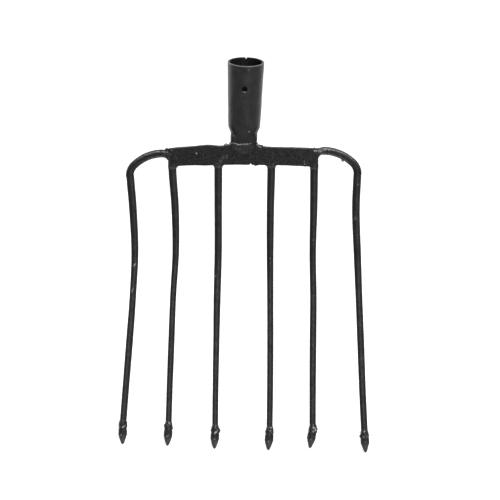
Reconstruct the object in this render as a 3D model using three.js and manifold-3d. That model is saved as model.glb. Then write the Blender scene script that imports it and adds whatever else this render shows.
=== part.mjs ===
// Head of a garden fork with six curved tines, without its handle: a socket rolled from sheet steel stands
// on a flat crossbar, six round rods leave the bar, and each rod ends in a welded-on spike.
//
// Lengths are in millimetres and angles in degrees. The origin is the centre of the socket's mouth, and +Z
// runs out of the mouth along the socket. The tines hang towards -Z and curve towards -Y, which is the
// hollow side. Left is -X. The crossbar and all below it are drawn in the head's own frame, whose origin is
// the middle of the bar's top edge, and which leans and skews a little on the socket, as on the hand-made
// tool.

import * as THREE from 'three';
import { mergeVertices } from 'three/addons/utils/BufferGeometryUtils.js';
import Module from 'manifold-3d';

const wasm = await Module();
wasm.setup();

// Fits
const clearance = 0.3; // between neighbours that touch
const overrun = 3; // how far a cutter passes the face it cuts, and an uncut end the face that trims it

// Socket
const mouthDiameter = 40;
const bodyFootDiameter = 34.8; // the body tapers to this above the shoulder
const sheetWall = 2;
const bodyLength = 72;
const shoulderLength = 10;
const neckLength = 14;
const neckWidth = 28.6;
const neckDepth = 16; // front to back, where the neck is squeezed flat towards the bar
const screwHoleDiameter = 6;
const screwHoleDrop = 26; // below the mouth, in the front wall
const seamWidth = 1.6; // the closed seam shows as a groove down the back
const seamDepth = 0.9;
const nickWidth = 2.4; // the rolled sheet's corners leave a nick in the rim at the seam
const nickDepth = 1.8;

// Set of the head on the socket
const headShift = -0.4; // sideways
const headLean = 8; // the bar's foot stands forward
const headSkew = -1.5; // turn in the bar's own plane, its foot to the right

// Crossbar: its long edges are given from left to right, as shares of half its length and of its height
const barLength = 168.4;
const barHeight = 22;
const barThickness = 8;
const barEdgeRound = 0.9;
const barTopShares = [[-1, -0.245], [-0.7, -0.125], [-0.48, -0.045], [-0.29, -0.085], [-0.19, 0], [0.19, 0],
  [0.28, -0.11], [0.6, -0.15], [1, -0.195]];
const barFootShares = [[-1, -1.1], [-0.68, -1.04], [0, -1.005], [0.6, -1.035], [1, -1.095]];
const footNotchPlaceShare = 0.1; // a small notch in the bar's foot, right of the middle
const footNotchWidth = 2.8;
const footNotchDepth = 2.2;

// Tines: round rod, full at the bar and hammered thinner down its length
const rodRootDiameter = 8.3;
const rodEndDiameter = 6.2;
const tineLength = 302; // along the rod, from the level of the bar's foot to the spike
const bendRadius = 500; // of the curve that shows from the side
const archReach = 44.2; // from the bar's end to the middle of an outer tine
const archRun = 6; // an outer tine leaves the bar straight for this length
const archRamp = 5.5; // straight slope between the arch's shoulder and its knee
const archKneeRadius = 14;
const archTurn = 40; // slope of the ramp

// Spikes
const spikeDiameter = 9;
const spikeBackDiameter = 6.8; // the back is turned down for the weld
const spikeBackLength = 2;
const spikeBodyLength = 11.5;
const spikeConeLength = 10.5;
const spikePointRadius = 0.9;

// Welds
const beadEdge = 0.7; // how far a bead stands over the rod where it runs out
const tipBeadSwell = 0.4; // how far a tip's bead stands over the spike
const tipBeadRise = 4.8; // up the rod from the spike's back
const tipBeadLump = 1.1; // a run of weld that stands off one side of the bead
const rootBeadSwell = 0.3; // how far a root's bead stands over the rod
const rootBeadRise = 4; // along the rod from the bar
const rootBeadLap = 3; // over the bar's faces
const rootBeadFlare = 3; // along the bar, where a root's bead runs out to it in a hollow
const neckBeadToe = 7.5; // along the bar's top, on each side of the neck
const neckBeadSwell = 1.6; // in front of the neck and behind it
const neckBeadRise = 3.5; // up the neck
const neckBeadLap = 8; // down the bar's faces
const neckBeadWaistShare = 0.33; // of its toe and rise, where its hollow side turns up the neck
const neckBeadFaceShare = 0.5; // of its lap, and of the step from the bar's faces to the neck's
const rippleShare = 0.035; // unevenness of the beads

// The tines from left to right. A tine is seated on the bar's end, under its corner or at a place along its
// foot. Bows are sideways, as shares of the tine's length at equal steps down it. Drawn shares say at the
// same steps how far the rod has gone from its root's diameter to its end's. Flare shares are those of its
// root's bead to the left, to the right and downwards. The spike's cant turns its point to the right, and
// the lump of its weld is a share of the full lump, on the left where it is negative.
const tines = [
  { seat: 'end', side: -1, seatShare: 0.445, lengthShare: 0.99, cant: 4.5, lumpShare: 0.3,
    bowShares: [0, 0.0115, 0.0195, 0.0135, 0.003, -0.007, -0.015],
    drawnShares: [0, 0.1, 0.45, 0.775, 0.575, 0.74, 0.775], flareShares: [0, 0, 1.3] },
  { seat: 'corner', side: -1, lengthShare: 0.997, cant: 0, lumpShare: -0.7,
    bowShares: [0, 0.0095, 0.013, 0.0045, 0, -0.0035, -0.006],
    drawnShares: [0, 0.2, 0.675, 1, 0.95, 1.05, 1.05], flareShares: [0, 0.75, 0] },
  { seat: 'foot', placeShare: -0.334, lengthShare: 1.0055, cant: 0, lumpShare: 1,
    bowShares: [0, 0, 0.0005, -0.0025, -0.004, -0.005, -0.0045],
    drawnShares: [0, 0.225, 0.275, 0.5, 0.95, 1.15, 1.175], flareShares: [1, 0.65, 0] },
  { seat: 'foot', placeShare: 0.3765, lengthShare: 1.01, cant: -1.5, lumpShare: 0,
    bowShares: [0, -0.0025, -0.003, -0.0015, -0.0005, -0.0005, -0.0015],
    drawnShares: [0, 0.3, 0.6, 0.925, 0.95, 1.05, 1.15], flareShares: [0.9, 0.6, 0] },
  { seat: 'corner', side: 1, lengthShare: 1.0015, cant: -7.5, lumpShare: 0.8,
    bowShares: [0, -0.0005, -0.003, 0, -0.001, -0.002, -0.0025],
    drawnShares: [0, 0.275, 0.75, 0.75, 0.675, 0.85, 0.95], flareShares: [0.2, 0, 0] },
  { seat: 'end', side: 1, seatShare: 0.265, lengthShare: 1.0165, cant: 0, lumpShare: -0.8,
    bowShares: [0, -0.0025, 0.004, 0.011, 0.0175, 0.023, 0.029],
    drawnShares: [0, 0.075, 0.3, 0.625, 0.55, 0.7, 0.75], flareShares: [0, 0, 1.1] },
];

// Facets
const socketSides = 40;
const rodSides = 12;
const beadSides = 14;
const neckBeadSides = 28;
const spikeSides = 14;
const holeSides = 18;
const shoulderSteps = 7;
const shankSteps = 20;
const archSteps = 5;
const barSteps = 26;
const beadSteps = 5;
const pointSteps = 2;

const { clamp, degToRad, lerp, smoothstep } = THREE.MathUtils;
const slopeShare = 0.001; // of a length, the step over which its slope is taken

// Head's frame on the socket
const socketLength = bodyLength + shoulderLength + neckLength;
const head = new THREE.Group();
head.position.set(headShift, 0, -socketLength);
head.rotation.set(degToRad(-headLean), degToRad(headSkew), 0, 'YXZ');
head.updateMatrix();

// Value at x of the smooth curve through rising stations [x, value], level at its first station
function through(stations, x) {
  const last = stations.length - 1;
  let i = 0;
  while (i < last - 1 && x > stations[i + 1][0]) i += 1;
  const slopeAt = (k) => {
    if (k === 0) return 0;
    const [before, after] = [stations[k - 1], stations[Math.min(k + 1, last)]];
    return (after[1] - before[1]) / (after[0] - before[0]);
  };
  const [[x0, v0], [x1, v1]] = [stations[i], stations[i + 1]];
  const span = x1 - x0;
  const t = clamp((x - x0) / span, 0, 1);
  const beyond = slopeAt(last) * Math.max(x - stations[last][0], 0);
  return (2 * t ** 3 - 3 * t ** 2 + 1) * v0 + (t ** 3 - 2 * t ** 2 + t) * span * slopeAt(i)
    + (3 * t ** 2 - 2 * t ** 3) * v1 + (t ** 3 - t ** 2) * span * slopeAt(i + 1) + beyond;
}

// Solid of a closed geometry
function solidOf(geometry) {
  const bare = new THREE.BufferGeometry();
  bare.setAttribute('position', geometry.attributes.position);
  bare.setIndex(geometry.index);
  const merged = mergeVertices(bare);
  return new wasm.Manifold(new wasm.Mesh({
    numProp: 3,
    vertProperties: new Float32Array(merged.attributes.position.array),
    triVerts: new Uint32Array(merged.index.array),
  }));
}

// Geometry of a solid
function geometryOf(solid) {
  const { numProp, vertProperties, triVerts } = solid.getMesh();
  const geometry = new THREE.BufferGeometry();
  const positions = new Float32Array(vertProperties.length / numProp * 3);
  for (let i = 0; i < positions.length / 3; i += 1) {
    for (let k = 0; k < 3; k += 1) positions[3 * i + k] = vertProperties[numProp * i + k];
  }
  geometry.setAttribute('position', new THREE.BufferAttribute(positions, 3));
  geometry.setIndex(new THREE.BufferAttribute(new Uint32Array(triVerts), 1));
  geometry.computeVertexNormals();
  return geometry;
}

// Closed geometry through rings of points, which run right-handed about the way from first ring to last
function loft(rings) {
  const sides = rings[0].length;
  const ends = [rings[0], rings[rings.length - 1]].map((ring) => (
    ring.reduce((sum, point) => sum.add(point), new THREE.Vector3()).divideScalar(sides)));
  const points = [...rings.flat(), ...ends];
  const [startHub, endHub] = [points.length - 2, points.length - 1];
  const lastRing = sides * (rings.length - 1);
  const index = [];
  for (let i = 0; i < sides; i += 1) {
    const j = (i + 1) % sides;
    for (let ring = 0; ring < lastRing; ring += sides) {
      const [a, b] = [ring + i, ring + j];
      index.push(a, b, b + sides, a, b + sides, a + sides);
    }
    index.push(startHub, j, i, endHub, lastRing + i, lastRing + j);
  }
  const geometry = new THREE.BufferGeometry().setFromPoints(points);
  geometry.setIndex(index);
  return geometry;
}

// Ring of points round a centre, square to an axis, from its front; angle and way out give each radius
function ringAbout(centre, axis, sides, radiusAt) {
  const front = new THREE.Vector3(0, -1, 0);
  const u = front.addScaledVector(axis, -front.dot(axis)).normalize();
  const v = new THREE.Vector3().crossVectors(axis, u);
  return Array.from({ length: sides }, (_, i) => {
    const angle = 2 * Math.PI * i / sides;
    const way = u.clone().multiplyScalar(Math.cos(angle)).addScaledVector(v, Math.sin(angle));
    return centre.clone().addScaledVector(way, radiusAt(angle, way));
  });
}

// Wedge along Y, centred there: its edge is the given depth under the origin and it is the width wide at it
function wedge(width, depth, length) {
  const outline = new THREE.Shape([[0, -depth], [width, depth], [-width, depth]]
    .map(([x, z]) => new THREE.Vector2(x, z)));
  return new THREE.ExtrudeGeometry(outline, { depth: length, bevelEnabled: false })
    .rotateX(Math.PI / 2)
    .translate(0, length / 2, 0);
}

// Half the socket's width or depth at a height
function socketHalf(z, neckSize) {
  const taper = (mouthDiameter - bodyFootDiameter) / bodyLength;
  const body = (mouthDiameter + taper * Math.max(z, -bodyLength)) / 2;
  return lerp(body, neckSize / 2, smoothstep(-z, bodyLength, bodyLength + shoulderLength));
}

// Point of the socket's outside at an angle from +X and a height, moved inwards square to the sheet
function socketPoint(angle, z, inset) {
  const step = shoulderLength * slopeShare;
  const [width, depth] = [neckWidth, neckDepth].map((size) => {
    const half = socketHalf(z, size);
    return { half, slope: (socketHalf(z + step, size) - half) / step };
  });
  const [cos, sin] = [Math.cos(angle), Math.sin(angle)];
  const out = new THREE.Vector3(depth.half * cos, width.half * sin,
    -(width.slope * depth.half * cos ** 2 + depth.slope * width.half * sin ** 2)).normalize();
  return new THREE.Vector3(width.half * cos, depth.half * sin, z).addScaledVector(out, -inset);
}

// Heights of the socket's rings, from its foot up
function socketHeights(top, foot) {
  const shoulder = Array.from({ length: shoulderSteps + 1 }, (_, i) => (
    -bodyLength - shoulderLength * (1 - i / shoulderSteps)));
  return [foot, ...shoulder, top];
}

// Body that fills the socket's outside, moved inwards by the inset
function socketFill(inset, top, foot) {
  return solidOf(loft(socketHeights(top, foot).map((z) => (
    Array.from({ length: socketSides }, (_, i) => socketPoint(2 * Math.PI * i / socketSides, z, inset))))));
}

// Groove down the back, where the rolled sheet's edges meet
function seamGroove(top, foot) {
  return solidOf(loft(socketHeights(top, foot).map((z) => {
    const back = socketHalf(z, neckDepth);
    return [[0, back - seamDepth], [seamWidth, back + seamDepth], [-seamWidth, back + seamDepth]]
      .map(([x, y]) => new THREE.Vector3(x, y, z));
  })));
}

function socketSolid() {
  const foot = -socketLength - overrun;
  const mouthRadius = mouthDiameter / 2;
  const throughWall = sheetWall + 2 * overrun;
  const holeRadius = screwHoleDiameter / 2;
  const hole = new THREE.CylinderGeometry(holeRadius, holeRadius, throughWall, holeSides)
    .translate(0, -socketHalf(-screwHoleDrop, neckDepth), -screwHoleDrop);
  const nick = wedge(nickWidth, nickDepth, throughWall).translate(0, mouthRadius, 0);
  const seat = new THREE.BoxGeometry(mouthDiameter, mouthDiameter, neckLength)
    .translate(0, 0, clearance - neckLength / 2)
    .applyMatrix4(head.matrix);
  return socketFill(0, 0, foot)
    .subtract(socketFill(sheetWall, overrun, foot - overrun))
    .subtract(seamGroove(overrun, foot - overrun))
    .subtract(solidOf(hole))
    .subtract(solidOf(nick))
    .subtract(solidOf(seat));
}

// Height of one of the bar's long edges at a place along it
function barEdge(shares, x) {
  return barHeight * through(shares, x / (barLength / 2));
}

// The bar, grown on every side
function barSolid(grow) {
  const half = barLength / 2;
  const places = Array.from({ length: barSteps + 1 }, (_, i) => half * (2 * i / barSteps - 1));
  const edge = (shares, rise) => places.map((x) => (
    new THREE.Vector2(x * (half + grow) / half, barEdge(shares, x) + rise)));
  const outline = new THREE.Shape([...edge(barTopShares, grow), ...edge(barFootShares, -grow).reverse()]);
  const depth = barThickness + 2 * (grow - barEdgeRound);
  const plate = new THREE.ExtrudeGeometry(outline, {
    depth,
    bevelThickness: barEdgeRound,
    bevelSize: barEdgeRound,
    bevelOffset: -barEdgeRound,
    bevelSegments: 1,
  }).rotateX(Math.PI / 2).translate(0, depth / 2, 0);
  return solidOf(plate);
}

function crossbarSolid() {
  const x = footNotchPlaceShare * barLength / 2;
  const notch = wedge(footNotchWidth, footNotchDepth, barThickness + 2 * overrun)
    .rotateY(Math.PI)
    .translate(x, 0, barEdge(barFootShares, x));
  return barSolid(0).subtract(solidOf(notch));
}

// Place in the head's frame of a point drawn in the flat, before the tines are bent
function bent(x, z) {
  const below = Math.max(-barHeight - z, 0);
  const angle = below / bendRadius;
  return new THREE.Vector3(x, -bendRadius * (1 - Math.cos(angle)),
    z + below - bendRadius * Math.sin(angle));
}

// Middle of a tine's root, as a sideways place
function rootPlace(tine) {
  const half = barLength / 2;
  if (tine.seat === 'end') return tine.side * (half + archReach);
  if (tine.seat === 'corner') return tine.side * (half - rodRootDiameter / 2);
  return tine.placeShare * half;
}

// Flat outline of an outer tine's arch, from inside the bar's end to the foot of its knee
function archPoints(tine) {
  const turn = degToRad(archTurn);
  const kneeReach = archKneeRadius * (1 - Math.sin(turn));
  const shoulderReach = archReach - archRun - archRamp * Math.cos(turn) - kneeReach;
  const shoulderRadius = shoulderReach / Math.sin(turn);
  const shoulderDrop = shoulderRadius * (1 - Math.cos(turn));
  const shoulder = new THREE.Path().absarc(archRun, -shoulderRadius, shoulderRadius, Math.PI / 2,
    Math.PI / 2 - turn, true);
  const knee = new THREE.Path().absarc(archReach - archKneeRadius,
    -shoulderDrop - archRamp * Math.sin(turn) - archKneeRadius * Math.cos(turn), archKneeRadius,
    Math.PI / 2 - turn, 0, true);
  return [new THREE.Vector2(-overrun, 0), ...shoulder.getPoints(archSteps), ...knee.getPoints(archSteps)]
    .map((point) => new THREE.Vector2(tine.side * (barLength / 2 + point.x),
      point.y - tine.seatShare * barHeight));
}

// Length and sideways place of a tine down to its spike
function shankLength(tine) {
  return tineLength * tine.lengthShare;
}

// Value at a length down a tine of shares that are given at equal steps
function alongShank(tine, shares, drop) {
  const stations = shares.map((share, i) => [i / (shares.length - 1), share]);
  return through(stations, drop / shankLength(tine));
}

function shankPlace(tine, drop) {
  return rootPlace(tine) + tineLength * alongShank(tine, tine.bowShares, drop);
}

function rodRadius(tine, drop) {
  return lerp(rodRootDiameter, rodEndDiameter, alongShank(tine, tine.drawnShares, drop)) / 2;
}

// Centres and radii along a tine, from inside the bar to past its spike's back
function rodStations(tine, pastEnd) {
  const arch = tine.seat === 'end' ? archPoints(tine) : [];
  const root = barEdge(barFootShares, rootPlace(tine)) + overrun;
  const start = arch.length ? arch[arch.length - 1].y : root;
  const from = -barHeight - start;
  const steps = Array.from({ length: shankSteps + 1 }, (_, i) => (
    lerp(from, shankLength(tine) + pastEnd, i / shankSteps)));
  const shank = steps.slice(arch.length ? 1 : 0).map((drop) => (
    new THREE.Vector2(shankPlace(tine, drop), -barHeight - drop)));
  return [...arch, ...shank].map((point) => ({
    centre: bent(point.x, point.y), radius: rodRadius(tine, Math.max(-barHeight - point.y, 0)),
  }));
}

// A tine's rod, grown all round
function rodFill(tine, grow) {
  const stations = rodStations(tine, overrun);
  return solidOf(loft(stations.map(({ centre, radius }, i) => {
    const before = stations[Math.max(i - 1, 0)].centre;
    const after = stations[Math.min(i + 1, stations.length - 1)].centre;
    const axis = new THREE.Vector3().subVectors(after, before).normalize();
    return ringAbout(centre, axis, rodSides, () => radius + grow);
  })));
}

// Middle of the spike's back and the way its point faces
function spikeSet(tine) {
  const length = shankLength(tine);
  const place = (drop) => bent(shankPlace(tine, drop), -barHeight - drop);
  const back = place(length);
  const run = new THREE.Vector3().subVectors(back, place(length * (1 - slopeShare))).normalize();
  const front = new THREE.Vector3(0, -1, 0);
  const hinge = front.addScaledVector(run, -front.dot(run)).normalize();
  return { back, run: run.applyAxisAngle(hinge, degToRad(tine.cant)) };
}

// A tine's spike, grown all round
function spikeFill(tine, grow) {
  const radius = spikeDiameter / 2;
  const coneAngle = Math.atan(spikeConeLength / radius);
  const pointCentre = spikeBodyLength + spikeConeLength - spikePointRadius;
  const pointRadius = spikePointRadius + grow;
  const point = Array.from({ length: pointSteps + 1 }, (_, i) => {
    const angle = lerp(Math.PI / 2 - coneAngle, Math.PI / 2, i / pointSteps);
    return [pointRadius * Math.cos(angle), pointCentre + pointRadius * Math.sin(angle)];
  });
  point[pointSteps][0] = 0;
  const profile = [[0, -grow], [spikeBackDiameter / 2 + grow, -grow], [radius + grow, spikeBackLength - grow],
    [radius + grow, spikeBodyLength], ...point];
  const { back, run } = spikeSet(tine);
  const turn = new THREE.Quaternion().setFromUnitVectors(new THREE.Vector3(0, -1, 0), run);
  const outline = profile.map(([r, along]) => new THREE.Vector2(r, -along)).reverse();
  const geometry = new THREE.LatheGeometry(outline, spikeSides);
  return solidOf(geometry.applyQuaternion(turn).translate(back.x, back.y, back.z));
}

function rodSolid(tine) {
  return rodFill(tine, 0).subtract(barSolid(clearance)).subtract(spikeFill(tine, clearance));
}

// Unevenness of a bead about its axis, different for each seed
function ripple(angle, seed) {
  return 1 + rippleShare * (Math.cos(3 * angle + seed) + Math.sin(2 * angle - 2 * seed));
}

// Bead about an axis: it runs from one radius to the other, swells between them, and flares to its start
function beadFill(centre, axis, bead) {
  const { from, to, fromRadius, toRadius, swell, lump = 0, flareAt = () => 0, seed } = bead;
  return solidOf(loft(Array.from({ length: beadSteps + 1 }, (_, i) => {
    const share = i / beadSteps;
    const along = lerp(from, to, share);
    const crown = Math.sin(Math.PI * share);
    const hollow = clamp(1 - along / to, 0, 1) ** 2;
    const radius = lerp(fromRadius, toRadius, smoothstep(share, 0, 1)) + swell * crown;
    const side = Math.sign(lump) * Math.PI / 2;
    const middle = centre.clone().addScaledVector(axis, along);
    return ringAbout(middle, axis, beadSides, (angle, way) => (
      radius * lerp(1, ripple(angle, seed + share), crown)
      + flareAt(way) * hollow
      + Math.abs(lump) * crown * Math.max(Math.cos(angle - side), 0) ** 3));
  })));
}

function tipBeadSolid(tine, seed) {
  const { back, run } = spikeSet(tine);
  return beadFill(back, run, {
    from: -tipBeadRise,
    to: spikeBackLength,
    fromRadius: rodRadius(tine, shankLength(tine)) + beadEdge,
    toRadius: spikeDiameter / 2,
    swell: tipBeadSwell,
    lump: -tipBeadLump * tine.lumpShare,
    seed,
  }).subtract(rodFill(tine, clearance)).subtract(spikeFill(tine, clearance));
}

function rootBeadSolid(tine, seed) {
  const radius = rodRootDiameter / 2 + beadEdge;
  const atEnd = tine.seat === 'end';
  const centre = atEnd
    ? new THREE.Vector3(tine.side * barLength / 2, 0, -tine.seatShare * barHeight)
    : new THREE.Vector3(rootPlace(tine), 0, barEdge(barFootShares, rootPlace(tine)));
  const axis = atEnd ? new THREE.Vector3(tine.side, 0, 0) : new THREE.Vector3(0, 0, -1);
  const [left, right, under] = tine.flareShares;
  const flareAt = (way) => rootBeadFlare * (
    left * Math.max(-way.x, 0) ** 2 + right * Math.max(way.x, 0) ** 2 + under * Math.max(-way.z, 0) ** 2);
  return beadFill(centre, axis, {
    from: -rootBeadLap,
    to: rootBeadRise,
    fromRadius: radius,
    toRadius: radius,
    swell: rootBeadSwell,
    flareAt,
    seed,
  }).subtract(rodFill(tine, clearance)).subtract(barSolid(clearance));
}

// Fillet of weld round the neck's foot, on the bar's top and down both its faces
function neckBeadSolid() {
  const levels = [
    { z: -neckBeadLap, x: neckWidth / 2 - neckBeadToe, y: barThickness / 2 + beadEdge },
    { z: -neckBeadLap * neckBeadFaceShare, x: neckWidth / 2,
      y: lerp(barThickness, neckDepth, neckBeadFaceShare) / 2 + neckBeadSwell },
    { z: 0, x: neckWidth / 2 + neckBeadToe, y: neckDepth / 2 + neckBeadSwell },
    { z: neckBeadRise * neckBeadWaistShare, x: neckWidth / 2 + neckBeadToe * neckBeadWaistShare,
      y: neckDepth / 2 + neckBeadSwell },
    { z: neckBeadRise, x: neckWidth / 2 + beadEdge, y: neckDepth / 2 + beadEdge },
  ];
  const fill = loft(levels.map(({ z, x, y }, level) => (
    Array.from({ length: neckBeadSides }, (_, i) => {
      const angle = 2 * Math.PI * i / neckBeadSides;
      const uneven = ripple(2 * angle, level);
      return new THREE.Vector3(x * uneven * Math.cos(angle), y * uneven * Math.sin(angle), z);
    }))));
  const neck = geometryOf(socketFill(-clearance, 0, -socketLength - overrun))
    .applyMatrix4(head.matrix.clone().invert());
  return solidOf(fill).subtract(solidOf(neck)).subtract(barSolid(clearance));
}

// Black paint over each kind of steel, a little lighter where it has weathered
const finishes = {
  sheet: { color: 0x2c2c2d, roughness: 0.48, metalness: 0.25 },
  bar: { color: 0x29292a, roughness: 0.55, metalness: 0.25 },
  rod: { color: 0x2d2d2e, roughness: 0.45, metalness: 0.25 },
  spike: { color: 0x38383a, roughness: 0.5, metalness: 0.35 },
  weld: { color: 0x303031, roughness: 0.4, metalness: 0.35 },
};

function piece(name, solid, finish) {
  const mesh = new THREE.Mesh(geometryOf(solid), new THREE.MeshStandardMaterial(finishes[finish]));
  mesh.name = name;
  return mesh;
}

head.add(piece('crossbar', crossbarSolid(), 'bar'));
head.add(piece('socket_weld', neckBeadSolid(), 'weld'));
tines.forEach((tine, i) => {
  const number = i + 1;
  head.add(piece(`tine_${number}`, rodSolid(tine), 'rod'));
  head.add(piece(`tine_weld_${number}`, rootBeadSolid(tine, number), 'weld'));
  head.add(piece(`spike_${number}`, spikeFill(tine, 0), 'spike'));
  head.add(piece(`spike_weld_${number}`, tipBeadSolid(tine, number), 'weld'));
});

const forkHead = new THREE.Group();
forkHead.add(piece('socket', socketSolid(), 'sheet'), head);

export default forkHead;
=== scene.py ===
"""Looks of a garden fork's head with curved tines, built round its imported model.

Sizes are in millimetres and angles in degrees; they become metres where a mesh is made. The origin is the
centre of the socket's mouth, +Z runs out of the mouth, and the tines hang towards -Z and curve towards -Y.
The crossbar and all below it are drawn in the head's own frame, which leans and skews a little on the socket.
"""

from __future__ import annotations

import logging
import math
from dataclasses import dataclass, field
from enum import Enum
from typing import Callable, Optional, Sequence

import bmesh
import bpy
import numpy as np
from mathutils import Matrix, Vector, noise


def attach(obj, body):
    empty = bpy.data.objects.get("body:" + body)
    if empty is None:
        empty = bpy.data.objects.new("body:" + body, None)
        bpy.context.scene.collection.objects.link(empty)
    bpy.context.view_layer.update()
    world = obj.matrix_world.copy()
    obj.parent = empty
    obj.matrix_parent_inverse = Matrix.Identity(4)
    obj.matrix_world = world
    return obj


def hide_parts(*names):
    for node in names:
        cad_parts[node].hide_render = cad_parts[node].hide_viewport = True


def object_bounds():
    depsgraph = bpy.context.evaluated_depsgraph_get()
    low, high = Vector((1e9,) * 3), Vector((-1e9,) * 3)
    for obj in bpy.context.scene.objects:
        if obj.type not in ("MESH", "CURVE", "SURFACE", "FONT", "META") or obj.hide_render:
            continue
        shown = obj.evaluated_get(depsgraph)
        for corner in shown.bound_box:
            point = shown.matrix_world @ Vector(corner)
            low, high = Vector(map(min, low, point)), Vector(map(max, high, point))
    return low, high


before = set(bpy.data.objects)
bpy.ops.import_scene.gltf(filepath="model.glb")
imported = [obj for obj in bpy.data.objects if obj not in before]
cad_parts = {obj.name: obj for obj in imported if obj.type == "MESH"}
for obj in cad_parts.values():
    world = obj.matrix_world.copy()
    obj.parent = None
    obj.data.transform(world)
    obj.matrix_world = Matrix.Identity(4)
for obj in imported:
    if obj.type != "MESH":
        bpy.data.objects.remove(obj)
cad_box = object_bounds()

LOG = logging.getLogger("fork_head")
MM = 0.001  # metres in a millimetre
COAT = 0.42  # millimetres of scale and paint over the bare steel
BODY = "root"
FRONT = np.array([0.0, -1.0, 0.0])
DOWN = np.array([0.0, 0.0, -1.0])
UPRIGHT = np.array([1.0, 1.0, 0.0])  # keeps what is square to Z
FRACTAL = (1.0, 2.0, 3)  # how fast finer bumps fade, how much finer each level is, and the levels
BALL_STEPS = 3  # subdivisions of a small ball
BALL_SIDES = 16  # points round a lump of weld
HIGHLIGHT_WAY = np.array([0.0, -0.8, 0.45])  # from a blob's middle to its painted highlight, in radii
HIGHLIGHT_SHARE = 0.8  # reach of a blob's painted highlight, in radii
Array = np.ndarray
Row = tuple[float, ...]
Link = bpy.types.NodeSocket  # an input or output of a node


# Curves and rings


def smoothstep(value: Array, low: float, high: float) -> Array:
    """Smooth step of a value between two limits."""
    t = np.clip((np.asarray(value, float) - low) / (high - low), 0.0, 1.0)
    return t * t * (3.0 - 2.0 * t)


def lerp(first: Array, last: Array, share: Array) -> Array:
    """Mix of two values."""
    return first + (last - first) * share


def unit(vectors: Array) -> Array:
    """Vectors of length one, along the last axis."""
    return vectors / np.linalg.norm(vectors, axis=-1, keepdims=True)


def through(stations: Sequence[Sequence[float]], places: Array) -> Array:
    """Smooth curve through rising stations, level at its first one.

    Args:
        stations: Pairs of place and value.
        places: Where the curve is read; past the last station it runs on straight.

    Returns:
        The curve's values at the places.
    """
    at, value = np.array(stations, float).T
    x = np.asarray(places, float)
    slope = np.zeros_like(value)
    slope[1:-1] = (value[2:] - value[:-2]) / (at[2:] - at[:-2])
    slope[-1] = (value[-1] - value[-2]) / (at[-1] - at[-2])
    i = np.clip(np.searchsorted(at, x, side="left") - 1, 0, len(at) - 2)
    span = at[i + 1] - at[i]
    t = np.clip((x - at[i]) / span, 0.0, 1.0)
    beyond = slope[-1] * np.maximum(x - at[-1], 0.0)
    return (
        (2 * t**3 - 3 * t**2 + 1) * value[i]
        + (t**3 - 2 * t**2 + t) * span * slope[i]
        + (3 * t**2 - 2 * t**3) * value[i + 1]
        + (t**3 - t**2) * span * slope[i + 1]
        + beyond
    )


def unevenness(points: Array, size: float, seed: float) -> Array:
    """Smooth random value, about -1 to 1, at each point.

    Args:
        points: Places in millimetres.
        size: Width of a bump.
        seed: Shifts the pattern.

    Returns:
        One value for each point.
    """
    flat = points.reshape(-1, 3) / size + seed
    values = [noise.fractal(Vector(p), *FRACTAL) for p in flat]
    return np.array(values).reshape(points.shape[:-1])


def ring_frame(axis: Array) -> tuple[Array, Array]:
    """Two directions square to an axis: one faces forward, the other follows it round the axis."""
    front = unit(FRONT - axis * (FRONT @ axis))
    return front, np.cross(axis, front)


def ring_about(centre: Array, axis: Array, angles: Array, radii: Array) -> Array:
    """Points of a ring round a centre, at the angles and radii given."""
    front, side = ring_frame(axis)
    return centre + np.outer(radii * np.cos(angles), front) + np.outer(radii * np.sin(angles), side)


def full_turn(sides: int) -> Array:
    """Angles of a ring's points, in radians."""
    return np.arange(sides) * 2.0 * math.pi / sides


def turned(centre: Array, axis: Array, sides: int, profile: Array) -> Array:
    """Rings of a body that is turned about an axis.

    Args:
        centre: Where the axis starts.
        axis: Its direction.
        sides: Points of a ring.
        profile: Pairs of radius and length along the axis.

    Returns:
        Points by ring and place in the ring.
    """
    angles = full_turn(sides)
    return np.array([ring_about(centre + axis * along, axis, angles, np.full(sides, radius))
                     for radius, along in profile])


def wedge(away: Array, width: float) -> Array:
    """One in the middle of a notch, and down to nothing at its edges."""
    return np.clip(1.0 - 2.0 * away / width, 0.0, 1.0)


@dataclass(frozen=True)
class Mark:
    """A bright spot on a piece, in the part's frame: mostly painted highlights, a few pale patches."""

    place: Row
    reach: float
    strength: float


@dataclass(frozen=True)
class HeadPose:
    """Set of the head on the socket."""

    shift: float = -0.4
    lean: float = 8.0
    skew: float = -1.5
    drop: float = 96.0

    @property
    def turn(self) -> Array:
        """Rotation from the head's frame to the part's."""
        skew = Matrix.Rotation(math.radians(self.skew), 3, "Y")
        return np.array(skew @ Matrix.Rotation(-math.radians(self.lean), 3, "X"))

    def place(self, points: Array) -> Array:
        """Points of the head's frame, in the part's frame."""
        return np.asarray(points, float) @ self.turn.T + np.array([self.shift, 0.0, -self.drop])

    def mark(self, place: Sequence[float], reach: float, strength: float) -> Mark:
        """A mark at a place of the head's frame."""
        return Mark(tuple(self.place(place)), reach, strength)

    def marks(self, rows: Sequence[Row]) -> list[Mark]:
        """Marks from rows of x, y, z, reach and strength in the head's frame."""
        return [self.mark(row[:3], *row[3:]) for row in rows]

    def level(self, points: Array, height: float) -> Array:
        """Heights in the part's frame at which points lie on a level of the head's frame.

        Args:
            points: Places in the part's frame, of which the heights are left out.
            height: The level's height in the head's frame.

        Returns:
            One height for each place.
        """
        normal = self.turn[:, 2]
        x, y = points[..., 0] - self.shift, points[..., 1]
        return (height - normal[0] * x - normal[1] * y) / normal[2] - self.drop


# Meshes


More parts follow.
